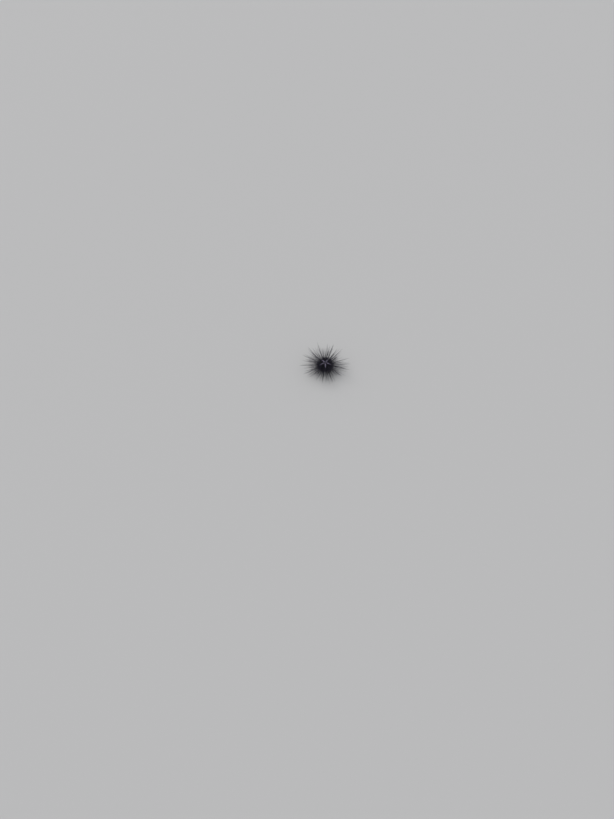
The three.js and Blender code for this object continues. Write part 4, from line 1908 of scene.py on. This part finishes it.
@dataclass
class MouthFringe:
    """The ten gill tufts in the notches at the mouth skin's edge, and the ten thick buccal feet within."""

    form: ShellForm
    fingers: int = 16
    finger_girth: float = 0.2
    foot_girth: float = 0.5
    foot_ring: float = 7.4
    foot_turn: float = math.radians(9)  # of a pair's feet, from the middle of their narrow field

    def build(self, material: bpy.types.Material) -> bpy.types.Object:
        """Builds the tufts and the feet as one piece.

        Args:
            material: their finish.

        Returns:
            The finished piece.
        """
        random = np.random.default_rng(SEED + 20)
        strands = Strands("gills_and_buccal_feet", material, 6, self.form)
        for ray in range(RAYS):
            for side in (-1, 1):
                self.add_tuft(strands, self.form.ray_at(ray) + side * self.form.wide_half, random)
                self.add_buccal_foot(strands, self.form.ray_at(ray + 0.5) + side * self.foot_turn, random)
        return finish_piece(strands.build(), ["peristome"])

    def add_tuft(self, strands: Strands, azimuth: float, random: np.random.Generator) -> None:
        """Adds one bush of branching fingers.

        Args:
            strands: what it is added to.
            azimuth: the notch's azimuth.
            random: where the draws come from.
        """
        outward, sideways = horizontal(azimuth)
        down = np.array([0, 0, -1.0])
        rim_z = self.form.ambitus - self.form.belly + 0.7
        root = outward * (self.form.mouth_edge - 0.4) + np.array([0, 0, rim_z])
        t = np.linspace(0, 1, 5)[:, None]
        for _ in range(self.fingers):
            lean = down * random.uniform(0.5, 1) + outward * random.uniform(-0.2, 0.9)
            lean = unit(lean + sideways * random.uniform(-0.9, 0.9))
            length = random.uniform(1.6, 3.4)
            foot = root + sideways * random.uniform(-0.7, 0.7) + outward * random.uniform(-0.3, 0.4)
            curl = unit(np.cross(lean, random.normal(size=3))) * 0.25 * length
            line = foot + lean * length * t + curl * t**2
            girths = self.finger_girth * np.interp(t.ravel(), (0, 0.5, 0.8, 1), (1.3, 1.0, 1.1, 0.5))
            strands.add(line, girths, float(random.uniform()))

    def add_buccal_foot(self, strands: Strands, azimuth: float, random: np.random.Generator) -> None:
        """Adds one short stout foot that ends in a pad.

        Args:
            strands: what it is added to.
            azimuth: its root's azimuth.
            random: where the draws come from.
        """
        outward, _ = horizontal(azimuth)
        root = outward * self.foot_ring + np.array([0, 0, self.form.ambitus - self.form.belly + 0.4])
        t = np.linspace(0, 1, 8)[:, None]
        end = root + outward * random.uniform(-0.8, 1.2) + np.array([0, 0, -random.uniform(3.4, 4.6)])
        line = root * (1 - t) + end * t + 0.5 * outward * np.sin(math.pi * t)
        girths = self.foot_girth * np.interp(
            t.ravel(), (0, 0.3, 0.7, 0.84, 0.93, 1), (1.3, 1.0, 0.9, 1.5, 1.7, 1.2)
        )
        strands.add(line, girths, float(random.uniform()))


@dataclass
class Teeth:
    """Five teeth that meet in a point under the mouth, each a keeled wedge with growth lines."""

    form: ShellForm
    half_angle: float = math.radians(33.5)
    length: float = 6.0
    showing: float = 2.4
    radius: float = 2.72
    inset: float = 0.1  # between the sides of two teeth, from the plane that parts them
    slimmer: float = 0.93
    across: int = 12
    steps: int = 26

    def build(self, material: bpy.types.Material) -> bpy.types.Object:
        """Builds the five teeth as one piece.

        Args:
            material: their finish.

        Returns:
            The finished piece.
        """
        points: list[tuple[float, float, float]] = []
        faces: list[tuple[int, ...]] = []
        tip = self.form.ambitus - self.form.belly - 1.1 - self.showing
        for ray in range(RAYS):
            middle = self.form.ray_at(ray)
            first = len(points)
            size = self.across + 2
            for k in range(self.steps + 1):
                t = k / self.steps
                z = tip + self.length * t
                outer = self.radius * min(1.0, (t / 0.62 + 0.02)) ** 0.62
                edge = self.inset / math.sin(self.half_angle)
                points.append(self.placed(edge, 0.0, z, middle))
                for i in range(self.across + 1):
                    share = 2 * i / self.across - 1
                    angle = share * self.half_angle
                    keel = 0.16 * math.exp(-((share / 0.3) ** 2)) - 0.1 * share**2
                    r = outer * (1 + 0.35 * keel)
                    x = edge + r * math.cos(angle) * self.slimmer
                    points.append(self.placed(x, r * math.sin(angle) * self.slimmer, z, middle))
            for k in range(self.steps):
                low, high = first + k * size, first + (k + 1) * size
                for i in range(size):
                    j = (i + 1) % size
                    faces.append((low + i, low + j, high + j, high + i))
            faces.append(tuple(first + i for i in reversed(range(size))))
            faces.append(tuple(first + self.steps * size + i for i in range(size)))
        teeth = add_surface("teeth", np.array(points), faces, material)
        return finish_piece(teeth, TEETH)

    def placed(self, x: float, y: float, z: float, angle: float) -> tuple[float, float, float]:
        """A point turned about the body's axis."""
        return (x * math.cos(angle) - y * math.sin(angle), x * math.sin(angle) + y * math.cos(angle), z)


@dataclass
class Studio:
    """A pale floor, soft light from the upper left behind the animal, and the photograph's camera.

    The camera looks down steeply from above.
    """

    floor_size: float = 30.0  # metres, as all the studio's lengths are
    depression: float = math.radians(56)
    lens: float = 27.03  # millimetres, for the sensor below along the picture's long side
    sensor: float = 36.0
    clips: tuple[float, float] = (0.05, 100.0)
    picture: tuple[float, float] = (614.0, 819.0)
    focal_pixels: float = 615.0
    star_at: tuple[float, float] = (325.2, 362.5)  # the middle of the star in the picture
    scale: float = 0.0037  # metres for each pixel at the animal
    star_height: float = 0.035
    sun_turn: float = math.radians(-42)  # the shadow falls to the lower right
    sun_height: float = math.radians(36)
    sun_width: float = math.radians(8)
    sun_energy: float = 0.75
    sun_colour: str = "#fffbf6"
    sky_strength: float = 0.72
    sky_colour: str = "#f6f7f8"

    def build(self) -> None:
        """Builds the floor, the lights, the surrounding light and the camera."""
        self.floor()
        self.lights()
        self.camera()
        bpy.context.scene.view_settings.view_transform = "Standard"

    def floor(self) -> None:
        """Makes the floor."""
        mesh = bpy.data.meshes.new("studio_floor")
        half = self.floor_size / 2
        corners = [(-half, -half, 0), (half, -half, 0), (half, half, 0), (-half, half, 0)]
        mesh.from_pydata(corners, [], [(0, 1, 2, 3)])
        mesh.materials.append(StudioPaper().build())
        floor = add_object("studio_floor", mesh)

    def lights(self) -> None:
        """Makes a soft main light and an even surrounding."""
        main = bpy.data.lights.new("main", "SUN")
        main.energy = self.sun_energy
        main.angle = self.sun_width
        main.color = linear(self.sun_colour)[:3]
        across = math.cos(self.sun_height)
        toward = (
            math.cos(self.sun_turn) * across,
            math.sin(self.sun_turn) * across,
            -math.sin(self.sun_height),
        )
        lamp = add_object("main", main)
        lamp.rotation_euler = Vector(toward).to_track_quat("-Z", "Y").to_euler()
        world = bpy.data.worlds.new("studio surroundings")
        world.use_nodes = True
        tree = world.node_tree
        tree.nodes.clear()
        sky = {"Color": linear(self.sky_colour), "Strength": self.sky_strength}
        glow = add_node(tree, "ShaderNodeBackground", sky)
        add_node(tree, "ShaderNodeOutputWorld", {"Surface": glow.outputs["Background"]})
        bpy.context.scene.world = world

    def camera(self) -> None:
        """Places the camera so that the animal has its place and size in the picture."""
        data = bpy.data.cameras.new("camera")
        data.sensor_width = self.sensor
        data.lens = self.lens
        data.clip_start, data.clip_end = self.clips
        forward = Vector((0, math.cos(self.depression), -math.sin(self.depression)))
        up = Vector((0, math.sin(self.depression), math.cos(self.depression)))
        distance = self.scale * self.focal_pixels
        right_of_middle = self.star_at[0] - self.picture[0] / 2
        above_middle = self.picture[1] / 2 - self.star_at[1]
        place = Vector((0, 0, self.star_height)) - forward * distance
        place -= Vector((1, 0, 0)) * right_of_middle * self.scale
        place -= up * above_middle * self.scale
        facing = forward.to_track_quat("-Z", "Y").to_matrix().to_4x4()
        camera = add_object("camera", data)
        camera.matrix_world = Matrix.Translation(place) @ facing
        bpy.context.scene.camera = camera


def main() -> None:
    """Builds every piece in order and reports it."""
    logging.basicConfig(level=logging.INFO, format="%(name)s: %(message)s")
    form = ShellForm()
    star = StarMarking(form)
    coat = SpineCoat(form, star, SpineGlass().build())
    long, middle, short = coat.grow()
    skin_finish = WetSkin().build()
    TestSkin(form, star).build(long.joined(middle), skin_finish)
    coat.build(long, middle, short)
    TubeFeet(form, Tissue.TUBE_FOOT.value.build()).build()
    ApicalDisc(form).build(skin_finish)
    AnalPapilla(form).build(Tissue.PAPILLA.value.build())
    MouthSkin(form).build(Tissue.MOUTH.value.build())
    MouthFringe(form).build(Tissue.GILL.value.build())
    Teeth(form).build(ToothCalcite().build())
    Studio().build()


if __name__ == "__main__":
    main()
